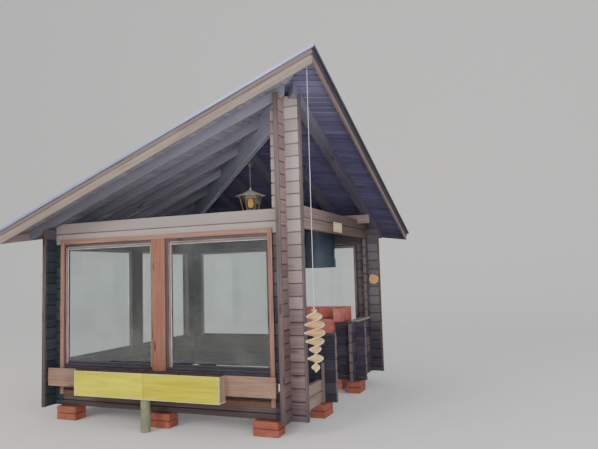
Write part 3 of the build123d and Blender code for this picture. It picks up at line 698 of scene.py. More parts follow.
@dataclass
class Timber:
    """Bars that share one mesh and one finish.

    A bar is a rounded rectangle, three points to a corner, carried along a straight line through four
    stations; the first and last station are drawn in, so that every edge is eased.
    """

    name: str
    seed: int
    ease: float = 0.003
    bars: list[Bar] = field(default_factory=list)

    def bar(self, start: Point, end: Point, width: float, height: float, up: Point = UP) -> None:
        """Add one bar."""
        self.bars.append(Bar(start, end, width, height, up))

    def lay(self, slope: Slope, start: Span, end: Span, rise: float, width: float, upright: float) -> None:
        """Add a bar that lies in a roof slope, its middle line lifted by rise."""
        ends = (slope.point(*start, rise), slope.point(*end, rise))
        self.bar(*ends, width, slope.thick(upright), slope.normal)

    def block(self, low: Point, high: Point) -> None:
        """Add a bar that fills a box, with its grain along the longest side."""
        size = np.subtract(high, low)
        axis = int(np.argmax(size))
        up_axis = 1 if axis == 2 else 2
        start, end = np.add(high, low) / 2, np.add(high, low) / 2
        start[axis], end[axis] = low[axis], high[axis]
        self.bar(tuple(start), tuple(end), size[3 - axis - up_axis], size[up_axis], tuple(np.eye(3)[up_axis]))

    def stack(
        self, run: Run, start: float, end: float, near: float, low: float, high: float, first: float
    ) -> None:
        """Add a stack of logs and the tongue that closes its joints.

        Args:
            run: Direction of the logs.
            start: Where they start along it.
            end: Where they end.
            near: Lower side coordinate of the wall.
            low: Bottom of the stack.
            high: Top of the stack.
            first: Height of the first joint.
        """
        joints = np.arange(first, high - THIN_LOG, LOG_H)
        levels = [low, *joints[joints > low + THIN_LOG], high]
        rng = np.random.default_rng(self.seed + int(1000 * abs(near) + 7000 * abs(start)))
        for bottom, top in zip(levels[:-1], levels[1:]):
            middle = near + LOG_T / 2 + float(rng.normal(0, LOG_SHIFT))
            ends = [run.point(place, middle, (bottom + top) / 2) for place in (start, end)]
            self.bar(*ends, LOG_T, top - bottom - LOG_GAP)
        self.tongue(run, start, end, near, low, high)

    def tongue(self, run: Run, start: float, end: float, near: float, low: float, high: float) -> None:
        """Add the tongues of a stack as one thin board in its middle, which closes the open joints."""
        middle = near + LOG_T / 2
        first = run.point(start + TONGUE_IN, middle - TONGUE_T / 2, low + LOG_GAP)
        self.block(first, run.point(end - TONGUE_IN, middle + TONGUE_T / 2, high - LOG_GAP))

    def bridge(self, run: Run, start: float, end: float, near: float, level: float) -> None:
        """Add a short tongue that closes the joint between two stacks at level."""
        self.tongue(run, start, end, near, level - BRIDGE, level + BRIDGE)

    def build(
        self, finish: Finish, slot: str, nodes: Sequence[str] = (), cuts: Sequence[Cut] = ()
    ) -> bpy.types.Object:
        """Make the mesh of all bars, trim it and dress it.

        Args:
            finish: Finish of the bars.
            slot: The record's material slot; not used.
            nodes: CAD nodes that it stands for.
            cuts: Planes that trim every bar.

        Returns:
            The piece.
        """
        start = np.array([bar.start for bar in self.bars])
        run = np.array([bar.end for bar in self.bars]) - start
        length = np.linalg.norm(run, axis=1)
        along = run / length[:, None]
        side = np.cross(np.array([bar.up for bar in self.bars]), along)
        side /= np.linalg.norm(side, axis=1)[:, None]
        top = np.cross(along, side)
        half = np.array([(bar.width / 2, bar.height / 2) for bar in self.bars])
        ease = np.minimum(self.ease, half.min(1) * 0.6)
        corner = np.repeat(np.array([(1, 1), (-1, 1), (-1, -1), (1, -1)]), 3, axis=0)
        angle = np.radians(np.repeat(np.arange(4) * 90, 3) + np.tile([0, 45, 90], 4))
        inset = ease[:, None] * np.array([0.7, 0, 0, 0.7])
        turn = (ease[:, None] - inset)[:, :, None]
        core = half - ease[:, None]
        a = corner[:, 0] * core[:, None, None, 0] + turn * np.cos(angle)
        b = corner[:, 1] * core[:, None, None, 1] + turn * np.sin(angle)
        station = np.stack([0 * length, ease, length - ease, length], 1)
        s = np.broadcast_to(station[:, :, None], a.shape)
        offsets = [part[..., None] * way[:, None, None, :] for part, way in ((s, along), (a, side), (b, top))]
        points = start[:, None, None, :] + offsets[0] + offsets[1] + offsets[2]
        cap = np.array([(i, i + 1, ROUND - 2 - i, ROUND - 1 - i) for i in range(ROUND // 2 - 1)])
        shell = grid_faces(STATIONS, ROUND, wrap=True)
        one = np.concatenate([shell, cap[:, ::-1], cap + ROUND * (STATIONS - 1)])
        count = ROUND * STATIONS
        faces = (one[None] + count * np.arange(len(self.bars))[:, None, None]).reshape(-1, 4)
        piece = mesh_piece(self.name, points.reshape(-1, 3), faces)
        tone = np.random.default_rng(self.seed).random((len(self.bars), 3))
        set_vectors(piece.data, "grain", np.stack([s - length[:, None, None] / 2, a, b], -1).reshape(-1, 3))
        set_vectors(piece.data, "tone", np.repeat(tone, count, axis=0))
        set_vectors(piece.data, "half", np.repeat(np.column_stack([length / 2, half]), count, axis=0))
        if cuts:
            trim(piece.data, cuts)
        return show(piece, finish, nodes)


def logs(
    name: str, seed: int, finish: Wood, stacks: Iterable[tuple], nodes: Sequence[str] = (),
    cuts: Sequence[Cut] = (), bridges: Iterable[tuple] = (), ease: float = LOG_EASE,
) -> None:
    """Build stacks of logs as one piece.

    Args:
        name: Name of the piece.
        seed: Seed of its random tones.
        finish: Its finish.
        stacks: What Timber.stack takes, for each stack.
        nodes: CAD nodes that the piece stands for.
        cuts: Planes that trim it.
        bridges: What Timber.bridge takes, for each joint between stacks.
        ease: Size of the eased edges.
    """
    timber = Timber(name, seed, ease)
    for stack in stacks:
        timber.stack(*stack)
    for bridge in bridges:
        timber.bridge(*bridge)
    timber.build(finish, "log_wood", nodes, cuts)


def boards(
    name: str, seed: int, finish: Finish, slot: str, boxes: Iterable[Box], nodes: Sequence[str] = (),
    cuts: Sequence[Cut] = (), ease: float = 0.003,
) -> None:
    """Build boards, bricks or bars that fill boxes as one piece.

    Args:
        name: Name of the piece.
        seed: Seed of its random tones.
        finish: Its finish.
        slot: The record's material slot.
        boxes: Lowest and highest corner of each.
        nodes: CAD nodes that the piece stands for.
        cuts: Planes that trim it.
        ease: Size of the eased edges.
    """
    timber = Timber(name, seed, ease)
    for low, high in boxes:
        timber.block(low, high)
    timber.build(finish, slot, nodes, cuts)


@dataclass
class LogWork:
    """Crossed log walls: corner stacks, sill logs, ring beams, the entrance side and the gable post."""

    end_in: float = LOG_OUT - END_BOARD
    inner_end: float = 0.010
    stub_y: float = FRONT + 0.970
    stub_in: float = 0.250
    stub_joint: float = LEVEL_X + 0.030
    low_top: float = 1.005
    entry_end: float = FRONT + 2.250
    back_stub: float = FRONT + 2.450
    back_stub_in: float = 0.255
    back_stub_out: float = 0.140
    slot_y: float = FRONT + 3.040
    slot: Span = (0.490, 0.750)
    cap_out: float = 0.030
    cap_t: float = 0.026
    batten_w: float = 0.034
    batten_h: float = 0.480
    tie_y: float = FRONT + 2.740
    tie_low: float = 2.475
    cover_top: float = 4.1

    def reach(self, near: float, side: int) -> Span:
        """Start and end of a log end that passes a crossing wall at near."""
        if side > 0:
            return near - ARM_IN, near + LOG_T + self.end_in
        return near - self.end_in, near + LOG_T + ARM_IN

    def corners(self) -> None:
        """Stack the crossed log ends of the four corners, and the gable's over the front right corner."""
        # Only the front right corner keeps the plain stains; the other corners get painted shade.
        spots = {
            "front_right": (NEAR_RIGHT, FRONT, 1, -1, LOG_STAIN, ARM_STAIN),
            "front_left": (LEFT, FRONT, -1, -1, FRONT_LEFT_PAINTED_SHADE, FRONT_LEFT_PAINTED_SHADE),
            "back_right": (NEAR_RIGHT, NEAR_BACK, 1, 1, BACK_CORNER_PAINTED_SHADE, PAINTED_SHADE_LOGS),
            "back_left": (LEFT, NEAR_BACK, -1, 1, PAINTED_SHADE_LOGS, PAINTED_SHADE_LOGS),
        }
        for turn, (corner, (x, y, side_x, side_y, stain, arm_stain)) in enumerate(spots.items()):
            start, end = self.reach(x, side_x)
            if corner == "front_right":
                # The inner part of the front right logs, in the recess behind the crossing arms, gets painted
                # shade.
                inner = (Run.X, start, x + self.inner_end, y, BASE, BEAM_X, LEVEL_X)
                logs("front_right_inner_logs", 14, PAINTED_SHADE_LOGS, [inner])
                start = x + self.inner_end
            wall, arm = (Run.X, start, end, y), (Run.Y, *self.reach(y, side_y), x)
            stack = [(*wall, BASE, BEAM_X, LEVEL_X)]
            node = f"corner_post_{corner}"
            logs(f"{corner}_logs", 11 + 90 * turn, stain, stack, [node], bridges=[(*wall, BEAM_X)])
            stack = [(*arm, BASE, BEAM_Y, LEVEL_Y)]
            logs(f"{corner}_arms", 12 + 90 * turn, arm_stain, stack, bridges=[(*arm, BEAM_Y)])
        wall, arm = (Run.X, *self.reach(NEAR_RIGHT, 1), FRONT), (Run.Y, *self.reach(FRONT, -1), NEAR_RIGHT)
        stack = [(*wall, TOP_X, GABLE_TOP, TOP_X)]
        logs("gable_logs", 12, LOG_STAIN, stack, ["gable_post"], bridges=[(*wall, TOP_X)])
        logs("gable_arms", 13, ARM_STAIN, [(*arm, TOP_Y, GABLE_TOP, TOP_Y)], bridges=[(*arm, TOP_Y)])

    def walls(self) -> None:
        """Lay the sill logs, the ring beams and the gable logs of the four sides."""
        long_x = (LEFT - self.end_in, RIGHT + self.end_in)
        long_y = (FRONT - self.end_in, BACK + self.end_in)
        sill_x, sill_y = LEVEL_X + LOG_H, LEVEL_Y + 2 * LOG_H
        beam = (Run.X, *long_x, FRONT, BEAM_X, TOP_X, BEAM_X)
        logs("front_logs", 21, LOG_STAIN, [beam], ["front_ring_beam"], UNDER_ROOF)
        sill = (Run.X, *BAY_X, FRONT, BASE, sill_x, LEVEL_X)
        logs("front_sill_bars", 26, SILL_PAINTED_SHADE, [sill], ["front_sill_logs"])
        # Back and left walls: painted shade.
        sill = (Run.X, *BAY_X, NEAR_BACK, BASE, sill_x, LEVEL_X)
        beam = (Run.X, *long_x, NEAR_BACK, BEAM_X, BEAM_X + 6 * LOG_H, BEAM_X)
        logs("back_logs", 22, PAINTED_SHADE_LOGS, [sill, beam], ["back_sill_logs", "back_ring_beam"], UNDER_ROOF)
        sill = (Run.Y, *BAY_Y, LEFT, BASE, sill_y, LEVEL_Y)
        beam = (Run.Y, *long_y, LEFT, BEAM_Y, BEAM_Y + 6 * LOG_H, BEAM_Y)
        logs("left_logs", 23, PAINTED_SHADE_LOGS, [sill, beam], ["left_sill_logs", "left_ring_beam"], UNDER_ROOF)
        sill = (Run.Y, BAY_Y[0], self.stub_y, NEAR_RIGHT, BASE, sill_y, LEVEL_Y)
        logs("right_logs", 24, BEAM_STAIN, [sill], ["right_sill_logs"])
        beam = (Run.Y, *long_y, NEAR_RIGHT, BEAM_Y, TOP_Y, BEAM_Y)
        logs("right_beam_logs", 25, RING_BEAM_PAINTED_SHADE, [beam], ["right_ring_beam"], UNDER_ROOF)

    def entrance(self) -> None:
        """Build the stub beside the gap, the low wall behind it with its cap, the batten and the tie beam."""
        near, low_top = NEAR_RIGHT, self.low_top
        # Stub and low wall by the entrance: painted shade.
        stub = (Run.X, near - self.stub_in, RIGHT + LOG_OUT, self.stub_y, BASE, low_top, self.stub_joint)
        logs("entrance_stub_logs", 31, PAINTED_SHADE_LOGS, [stub], ["entrance_stub"])
        slot_low, slot_high = self.slot
        low, high = LEVEL_Y + 2 * LOG_H, LEVEL_Y + 5 * LOG_H
        whole = (Run.Y, self.entry_end, BAY_Y[1], near)
        behind = (Run.Y, self.slot_y, BAY_Y[1], near)
        back_x = (near - self.back_stub_in, RIGHT + self.back_stub_out)
        stacks = [
            (*whole, BASE, low, LEVEL_Y),
            (Run.Y, self.entry_end, self.slot_y, near, low, high, low),
            (*behind, low, slot_low, low),
            (*behind, slot_high, high, high),
            (*whole, high, low_top, high),
            (Run.X, *back_x, self.back_stub, BASE, low_top, LEVEL_X),
        ]
        bridges = [(*whole, low), (*whole, high)]
        logs("low_wall_logs", 32, PAINTED_SHADE_LOGS, stacks, ["low_wall"], bridges=bridges)
        first = (near - self.cap_out, self.back_stub + LOG_T, low_top)
        cap = (first, (RIGHT + self.cap_out, BAY_Y[1], low_top + self.cap_t))
        boards("low_wall_cap_board", 33, BARGE_STAIN, "barge_wood", [cap], ["low_wall_cap"], ease=0.004)
        first = (RIGHT, self.stub_y - self.batten_w, BASE)
        batten = (first, (RIGHT + self.batten_w, self.stub_y, BASE + self.batten_h))
        boards("corner_batten_bar", 34, BROWN_BARGE_STAIN, "barge_wood", [batten], ["corner_batten"])
        level = self.tie_low
        tie = (Run.X, LEFT - LOG_OUT, RIGHT + LOG_OUT, self.tie_y, level, level + LOG_H, level)
        logs("tie_log", 35, BEAM_STAIN, [tie], ["tie_beam"], UNDER_ROOF)

    def end_boards(self) -> None:
        """Cover the outer log ends of each corner with upright boards."""
        high = self.cover_top
        gable, low = [], []
        tops = {(1, -1): (GABLE_TOP, GABLE_TOP), (-1, -1): (TOP_X, high)}
        tops |= {(1, 1): (high, TOP_Y), (-1, 1): (high, high)}
        for (side_x, side_y), (top_x, top_y) in tops.items():
            x, end_x = (NEAR_RIGHT, RIGHT + self.end_in) if side_x > 0 else (LEFT, LEFT - LOG_OUT)
            y, end_y = (FRONT, FRONT - LOG_OUT) if side_y < 0 else (NEAR_BACK, BACK + self.end_in)
            group = gable if (side_x, side_y) == (1, -1) else low
            group.append(((end_x, y, BASE), (end_x + END_BOARD, y + LOG_T, top_x)))
            group.append(((x, end_y, BASE), (x + LOG_T, end_y + END_BOARD, top_y)))
        boards("gable_cover_boards", 41, END_STAIN, "casing_wood", gable, ["log_end_boards"])
        boards("cover_boards", 42, END_STAIN, "casing_wood", low, cuts=UNDER_ROOF)

    def build(self) -> None:
        """Build all the log work."""
        self.corners()
        self.walls()
        self.entrance()
        self.end_boards()


@dataclass
class Roof:
    """Two planes that fold along the diagonal: ridge beam, rafters, soffit boards, barge boards and edges."""

    inside: float = BARGE - 0.025
    rafter_w: float = 0.045
    left_first: float = 0.475
    left_pitch: float = 0.630
    right_w: float = 0.100
    right_first: float = 0.445
    right_pitch: float = 0.600
    board_pitch: float = 0.090
    board_gap: float = 0.004
    tight_gap: float = 0.001
    first_board: float = 0.059
    # Pale strips of painted highlight between soffit boards: where they start along X, and their width and
    # height.
    highlight_strip_x: float = 1.72
    tongue: Span = (0.006, 0.003)
    ridge_w: float = 0.070
    ridge_drop: float = 0.205
    ridge_front: float = 0.833
    ridge_back: float = 0.250
    ridge_share: float = 0.985
    barge_split: float = 0.098
    barge_step: float = 0.030
    barge_t: float = 0.025
    barge_proud: float = 0.010
    barge_gap: float = 0.002
    trim_out: float = 0.035
    trim_h: float = 0.030
    # Size of the painted highlight line on the steel edge.
    worn: Span = (0.006, 0.008)

    def ridge(self) -> None:
        """Lay the ridge beam along the diagonal."""
        ends = []
        for along in (self.ridge_front, BARGE * 2 * math.sqrt(2) - self.ridge_back):
            out = along / math.sqrt(2)
            level = PEAK - (ALONG - ACROSS) * out + (RAFTER - self.ridge_drop) / 2
            ends.append((BARGE - out, out - BARGE, level))
        beam = Timber("ridge_beam_bar", 51, 0.005)
        beam.bar(*ends, self.ridge_w, (RAFTER + self.ridge_drop) * self.ridge_share)
        top = [Cut(slope.point(0, 0, RAFTER), slope.normal) for slope in Slope]
        beam.build(RIDGE_PAINTED_LIGHT, "roof_wood", ["ridge_beam"], top)

    def rafters(self) -> None:
        """Lay the rafters: parallel to the front on the left slope, to the right side on the other."""
        house = self.ridge_w / 2 / math.sqrt(2)
        limit, last = self.inside, self.inside - 2 * self.rafter_w
        left, right = Timber("left_rafter_bars", 52), Timber("right_rafter_bars", 53)
        for y in np.arange(-BARGE + self.left_first, last, self.left_pitch):
            left.lay(Slope.LEFT, (-limit, y), (limit, y), RAFTER / 2, self.rafter_w, RAFTER)
        for x in -np.arange(-BARGE + self.right_first, last, self.right_pitch):
            right.lay(Slope.RIGHT, (x, -limit), (x, limit), RAFTER / 2, self.right_w, RAFTER)
        left.build(LEFT_RAFTERS_PAINTED_LIGHT, "roof_wood", ["left_rafters"], [Cut((-house, -house, 0), (1, 1, 0))])
        right.build(RIGHT_RAFTERS_PAINTED_SHADE, "roof_wood", ["right_rafters"], [Cut((house, house, 0), (-1, -1, 0))])

    def soffit(self) -> None:
        """Close each slope with boards laid square to its rafters."""
        limit, pitch = self.inside, self.board_pitch
        width = pitch - self.board_gap
        rise = RAFTER + BOARD / 2
        left, right = Timber("left_soffit_boards", 54), Timber("right_soffit_boards", 55)
        for x in np.arange(-limit + width / 2, limit, pitch):
            left.lay(Slope.LEFT, (x, -limit), (x, limit), rise, pitch - self.tight_gap, BOARD)
        first = -limit + self.first_board
        for turn, y in enumerate([first - self.first_board / 2, *np.arange(first + pitch / 2, limit, pitch)]):
            board = width if turn else self.first_board - self.board_gap
            right.lay(Slope.RIGHT, (-limit, y), (limit, y), rise, board, BOARD)
        # Painted highlights: pale strips along some joints of the boards over the entrance.
        tongues = Timber("soffit_highlight_strips", 56, 0.0005)
        for y in first + np.arange(6, 11) * pitch:
            ends = [Slope.RIGHT.point(x, y, RAFTER) for x in (self.highlight_strip_x, limit)]
            tongues.bar(*ends, *self.tongue, Slope.RIGHT.normal)
        tongues.build(SOFFIT_PAINTED_HIGHLIGHTS, "roof_wood")
        left.build(LEFT_SOFFIT_PAINTED_LIGHT, "roof_wood", ["left_roof_boards"], [ONLY_LEFT])
        right.build(RIGHT_SOFFIT_PAINTED_SHADE, "roof_wood", ["right_roof_boards"], [ONLY_RIGHT])

    def barges(self) -> None:
        """Nail two boards one over the other along each edge, mitred at the corners."""
        pale, brown = (BARGE_STAIN, UPPER_BARGE_PAINTED_SHADE), (BROWN_BARGE_STAIN, DARK_BARGE_PAINTED_SHADE)
        # The back barge, seen from inside, gets painted shade on both boards.
        dark = (DARK_BARGE_PAINTED_SHADE, DARK_BARGE_PAINTED_SHADE)
        sides = {
            "front": (Slope.LEFT, (-1, -1), (1, -1), (0, 1), (ONLY_LEFT, NOT_BACK), pale),
            "left": (Slope.LEFT, (-1, 1), (-1, -1), (1, 0), (ONLY_LEFT, NOT_FRONT), pale),
            "right": (Slope.RIGHT, (1, -1), (1, 1), (-1, 0), (ONLY_RIGHT, NOT_BACK), brown),
            "back": (Slope.RIGHT, (1, 1), (-1, 1), (0, -1), (ONLY_RIGHT, NOT_FRONT), dark),
        }
        for turn, (side, (slope, start, end, inward, cuts, stains)) in enumerate(sides.items()):
            step = 0.0 if slope is Slope.LEFT else self.barge_step
            layers = {
                "lower": (step, self.barge_split - self.barge_gap, 0.0, stains[0], [f"{side}_barge_board"]),
                "upper": (self.barge_split, ROOF, self.barge_proud, stains[1], []),
            }
            for layer, (low, high, proud, finish, nodes) in layers.items():
                shift = np.array(inward) * (self.barge_t / 2 - proud)
                corners = [np.multiply(place, BARGE) + shift for place in (start, end)]
                ends = [slope.point(*corner, (low + high) / 2) for corner in corners]
                run = np.subtract(ends[1], ends[0])
                pair = Timber(f"{side}_{layer}_barge", 60 + turn)
                pair.bar(*ends, self.barge_t, (high - low) * float(np.hypot(*run[:2]) / np.linalg.norm(run)))
                pair.build(finish, "barge_wood", nodes, cuts)

    def paint_edge_highlight(self) -> None:
        """Lay a thin pale line, a painted highlight, along the upper corner of the steel edge of the slope
        over the entrance.
        """
        line = Timber("edge_highlight_line", 57, 0.001)
        out, rise = BARGE + self.trim_out + 0.001, ROOF + self.trim_h - 0.002
        spots = [Slope.RIGHT.point(x, y, rise) for x, y in ((out, -out), (out, out), (-out, out))]
        for start, end in zip(spots[:-1], spots[1:]):
            line.bar(start, end, *self.worn)
        line.build(EDGE_PAINTED_HIGHLIGHT, "edge_metal")

    def build(self) -> None:
        """Build the roof."""
        self.paint_edge_highlight()
        self.ridge()
        self.rafters()
        self.soffit()
        self.barges()


@dataclass
class Window:
    """A boarded frame with two fixed panes in one wall bay."""

    label: str
    run: Run
    bay: Span
    near: float
    out: int
    sill: float
    head: float
    seed: int
    shift: float = 0.0
    jamb: float = 0.030
    mullion: float = 0.230
    cover: float = 0.020
    glass_low: float = 0.685
    glass_high: float = 2.165
    sash_w: float = 0.035
    sash_t: float = 0.040
    casing_w: float = 0.055
    casing_t: float = 0.020
    casing_lap: float = 0.020
    casing_low: float = 0.305
    casing_high: float = 2.260

    def boards(
        self, part: str, turn: int, finish: Wood, depth: Span, spans: Iterable[tuple],
        slot: str = "casing_wood", nodes: Sequence[str] = (),
    ) -> None:
        """Build boards of one depth; each span is start and end along the wall, then low and high."""
        near, far = depth
        point = self.run.point
        boxes = [(point(start, near, low), point(end, far, high)) for start, end, low, high in spans]
        boards(f"{self.label}_{part}", self.seed + turn, finish, slot, boxes, nodes)

    def build(self) -> None:
        """Build frame, casing and sashes."""
        start, end = self.bay
        middle, far = (start + end) / 2, self.near + LOG_T
        low, high, edge = self.glass_low, self.glass_high, self.casing_w
        panes = [(start + self.jamb, middle - self.mullion / 2), (middle + self.mullion / 2, end - self.jamb)]
        stack = (self.run, start, end, self.near, self.sill, low, self.sill)
        node = f"{self.label}_window_frame"
        # Panel logs under the glass: painted shade.
        logs(f"{self.label}_panel_logs", self.seed, PAINTED_SHADE_LOGS, [stack], [node], ease=0.006)
        posts = [(start, start + self.jamb), (end - self.jamb, end), (panes[0][1], panes[1][0])]
        spans = [(*post, low, high) for post in posts] + [(start, end, high, self.head)]
        self.boards("frame_boards", 1, END_STAIN, (self.near, far), spans)
        face = self.near if self.out < 0 else far
        depth = sorted((face, face + self.out * self.casing_t))
        left, right = start - self.casing_lap + self.shift, end + self.casing_lap + self.shift
        bottom, top = self.casing_low, self.casing_high
        inner = (left + edge, right - edge)
        spans = [(left, inner[0], bottom, top), (inner[1], right, bottom, top), (*inner, top - edge, top)]
        self.boards("casing_boards", 3, CASING_STAIN, depth, spans)
        self.boards("low_casing", 6, LOW_CASING_STAIN, depth, [(*inner, bottom, bottom + edge)])
        cover = (panes[0][1] + self.cover + self.shift, panes[1][0] - self.cover + self.shift)
        self.boards("mullion_board", 4, MULLION_STAIN, depth, [(*cover, bottom + edge, top - edge)])
        centre, bar = self.near + LOG_T / 2, self.sash_w
        depth = (centre - self.sash_t / 2, centre + self.sash_t / 2)
        spans = []
        for first, last in panes:
            spans += [(first, first + bar, low, high), (last - bar, last, low, high)]
            spans.append((first + bar, last - bar, high - bar, high))
        node = f"{self.label}_window_sashes"
        self.boards("sash_bars", 2, SASH_STAIN, depth, spans, "sash_paint", [node])
        # Bottom rails of the sashes: painted shade.
        spans = [(first + bar, last - bar, low, low + bar) for first, last in panes]
        self.boards("sash_bottoms", 5, PAINTED_SHADE_LOGS, depth, spans, "sash_paint")


@dataclass
class PlantingShelf:
    """Board between the log ends with two painted troughs and a round prop."""

    front: float = FRONT - LOG_OUT
    low: float = 0.437
    height: float = 0.218
    thick: float = 0.030
    short: float = 0.050
    cleat: Span = (0.490, 0.590)
    cleat_t: float = 0.025
    plate: Span = (0.515, 0.590)
    plate_in: float = 0.014
    plate_w: float = 0.012
    trough_w: float = 0.985
    trough_h: float = 0.285
    trough_d: float = 0.140
    trough_z: float = 0.375
    trough_end: float = RIGHT - 0.705
    gap: float = 0.006
    wall: float = 0.016
    strip: float = 0.007
    proud: float = 0.003
    rear_low: float = 0.014
    soil_low: float = 0.012
    soil_t: float = 0.030
    prop_r: float = 0.0575
    prop_shift: float = 0.018

    def shelf(self) -> None:
        """Build the board, the cleats that hold it and the thin pale plate by its right end."""
        left, right = LEFT + LOG_T, NEAR_RIGHT
        front, inner = self.front, self.front + self.thick
        board = ((left + self.short, front, self.low), (right - self.short, inner, self.low + self.height))
        boards("shelf_board_plank", 71, SHELF_STAIN, "shelf_wood", [board], ["shelf_board"], ease=0.004)
        cleats = [
            ((start, inner, self.cleat[0]), (start + 2 * self.short, inner + self.cleat_t, self.cleat[1]))
            for start in (left, right - 2 * self.short)
        ]
        # Cleats under the board: painted shade.
        boards("shelf_cleats", 72, PAINTED_SHADE_LOGS, "shelf_wood", cleats, ease=0.002)
        place = right - self.plate_in
        plate = ((place, front + 0.006, self.plate[0]), (place + self.plate_w, inner, self.plate[1]))
        boards("shelf_plate", 73, STRIP_PAINT, "shelf_wood", [plate], ease=0.001)

    def trough(self, turn: int) -> None:
        """Build one trough: yellow front, greyed ends, thin pale strips and soil."""
        end = self.trough_end - turn * (self.trough_w + self.gap)
        start, wall, proud, strip = end - self.trough_w, self.wall, self.proud, self.strip
        front, back = self.front - self.trough_d, self.front
        low, high = self.trough_z, self.trough_z + self.trough_h
        left, right, inner = start + wall, end - wall, front + wall
        rear = ((left, back - wall, low), (right, back, high - self.rear_low))
        panels = [((start, front, low), (end, inner, high)), rear]
        nodes = [] if turn else ["planting_troughs"]
        boards(f"trough_front_{turn}", 75 + turn, TROUGH_PAINT, "yellow_paint", panels, nodes)
        ends = [
            ((start, inner, low), (left, back, high)),
            ((right, inner, low), (end, back, high)),
            ((left, inner, low), (right, back - wall, low + wall)),
        ]
        boards(f"trough_ends_{turn}", 77 + turn, TROUGH_END, "yellow_paint", ends)
        place = start if turn else end - strip
        strips = [
            ((start, front - proud, level), (end, front + proud, level + strip))
            for level in (low - proud, high - strip + proud)
        ]
        strips.append(((place, front - proud, low), (place + strip, front + proud, high)))
        strips.append(((end - proud, front, low - proud), (end + proud, back - 0.004, low + strip)))
        boards(f"trough_strips_{turn}", 79 + turn, STRIP_PAINT, "yellow_paint", strips, ease=0.002)
        self.soil(turn, (left, right), (inner, back - wall), high - self.soil_low)

    def soil(self, turn: int, x: Span, y: Span, level: float) -> None:
        """Fill a trough with soil: a flat field raised by two waves and noise, closed underneath."""
        rng = np.random.default_rng(90 + turn)
        u, v = np.meshgrid(np.linspace(0, 1, 90), np.linspace(0, 1, 14), indexing="ij")
        z = level + 0.006 * np.sin(17 * u + turn) * np.sin(5 * v) + rng.normal(0, 0.003, u.shape)
        top = np.stack([x[0] + u * (x[1] - x[0]), y[0] + v * (y[1] - y[0]), z], -1).reshape(-1, 3)
        piece = mesh_piece(f"trough_soil_{turn}", top, grid_faces(90, 14), smooth=True)
        solid = piece.modifiers.new("depth", "SOLIDIFY")
        solid.thickness = self.soil_t
        solid.offset = -1
        show(piece, SOIL)

    def prop(self) -> None:
        """Build the round prop, its radius varied by two slow waves round it and up it."""
        x = self.trough_end - self.trough_w - self.prop_shift
        y = self.front - self.trough_d / 2
        rings, around = 24, 40
        angle = np.arange(around) / around * 2 * np.pi
        t, angle = np.meshgrid(np.linspace(0, 1, rings), angle, indexing="ij")
        waves = np.cos(3 * angle + 2 * t) ** 2 + np.sin(2 * angle + 5 * t) ** 2
        radius = self.prop_r * (1 - 0.03 * waves) * np.where((t == 0) | (t == 1), 0.96, 1.0)
        z = t * (self.trough_z - 0.002)
        points = np.stack([x + radius * np.cos(angle), y + radius * np.sin(angle), z], -1).reshape(-1, 3)
        faces = grid_faces(rings, around, wrap=True).tolist()
        faces += [list(range(around))[::-1], list(range((rings - 1) * around, rings * around))]
        show(mesh_piece("trough_prop_post", points, faces), PROP_CONCRETE, ["trough_prop"])

    def build(self) -> None:
        """Build the shelf, both troughs and the prop."""
        self.shelf()
        self.trough(0)
        self.trough(1)
        self.prop()


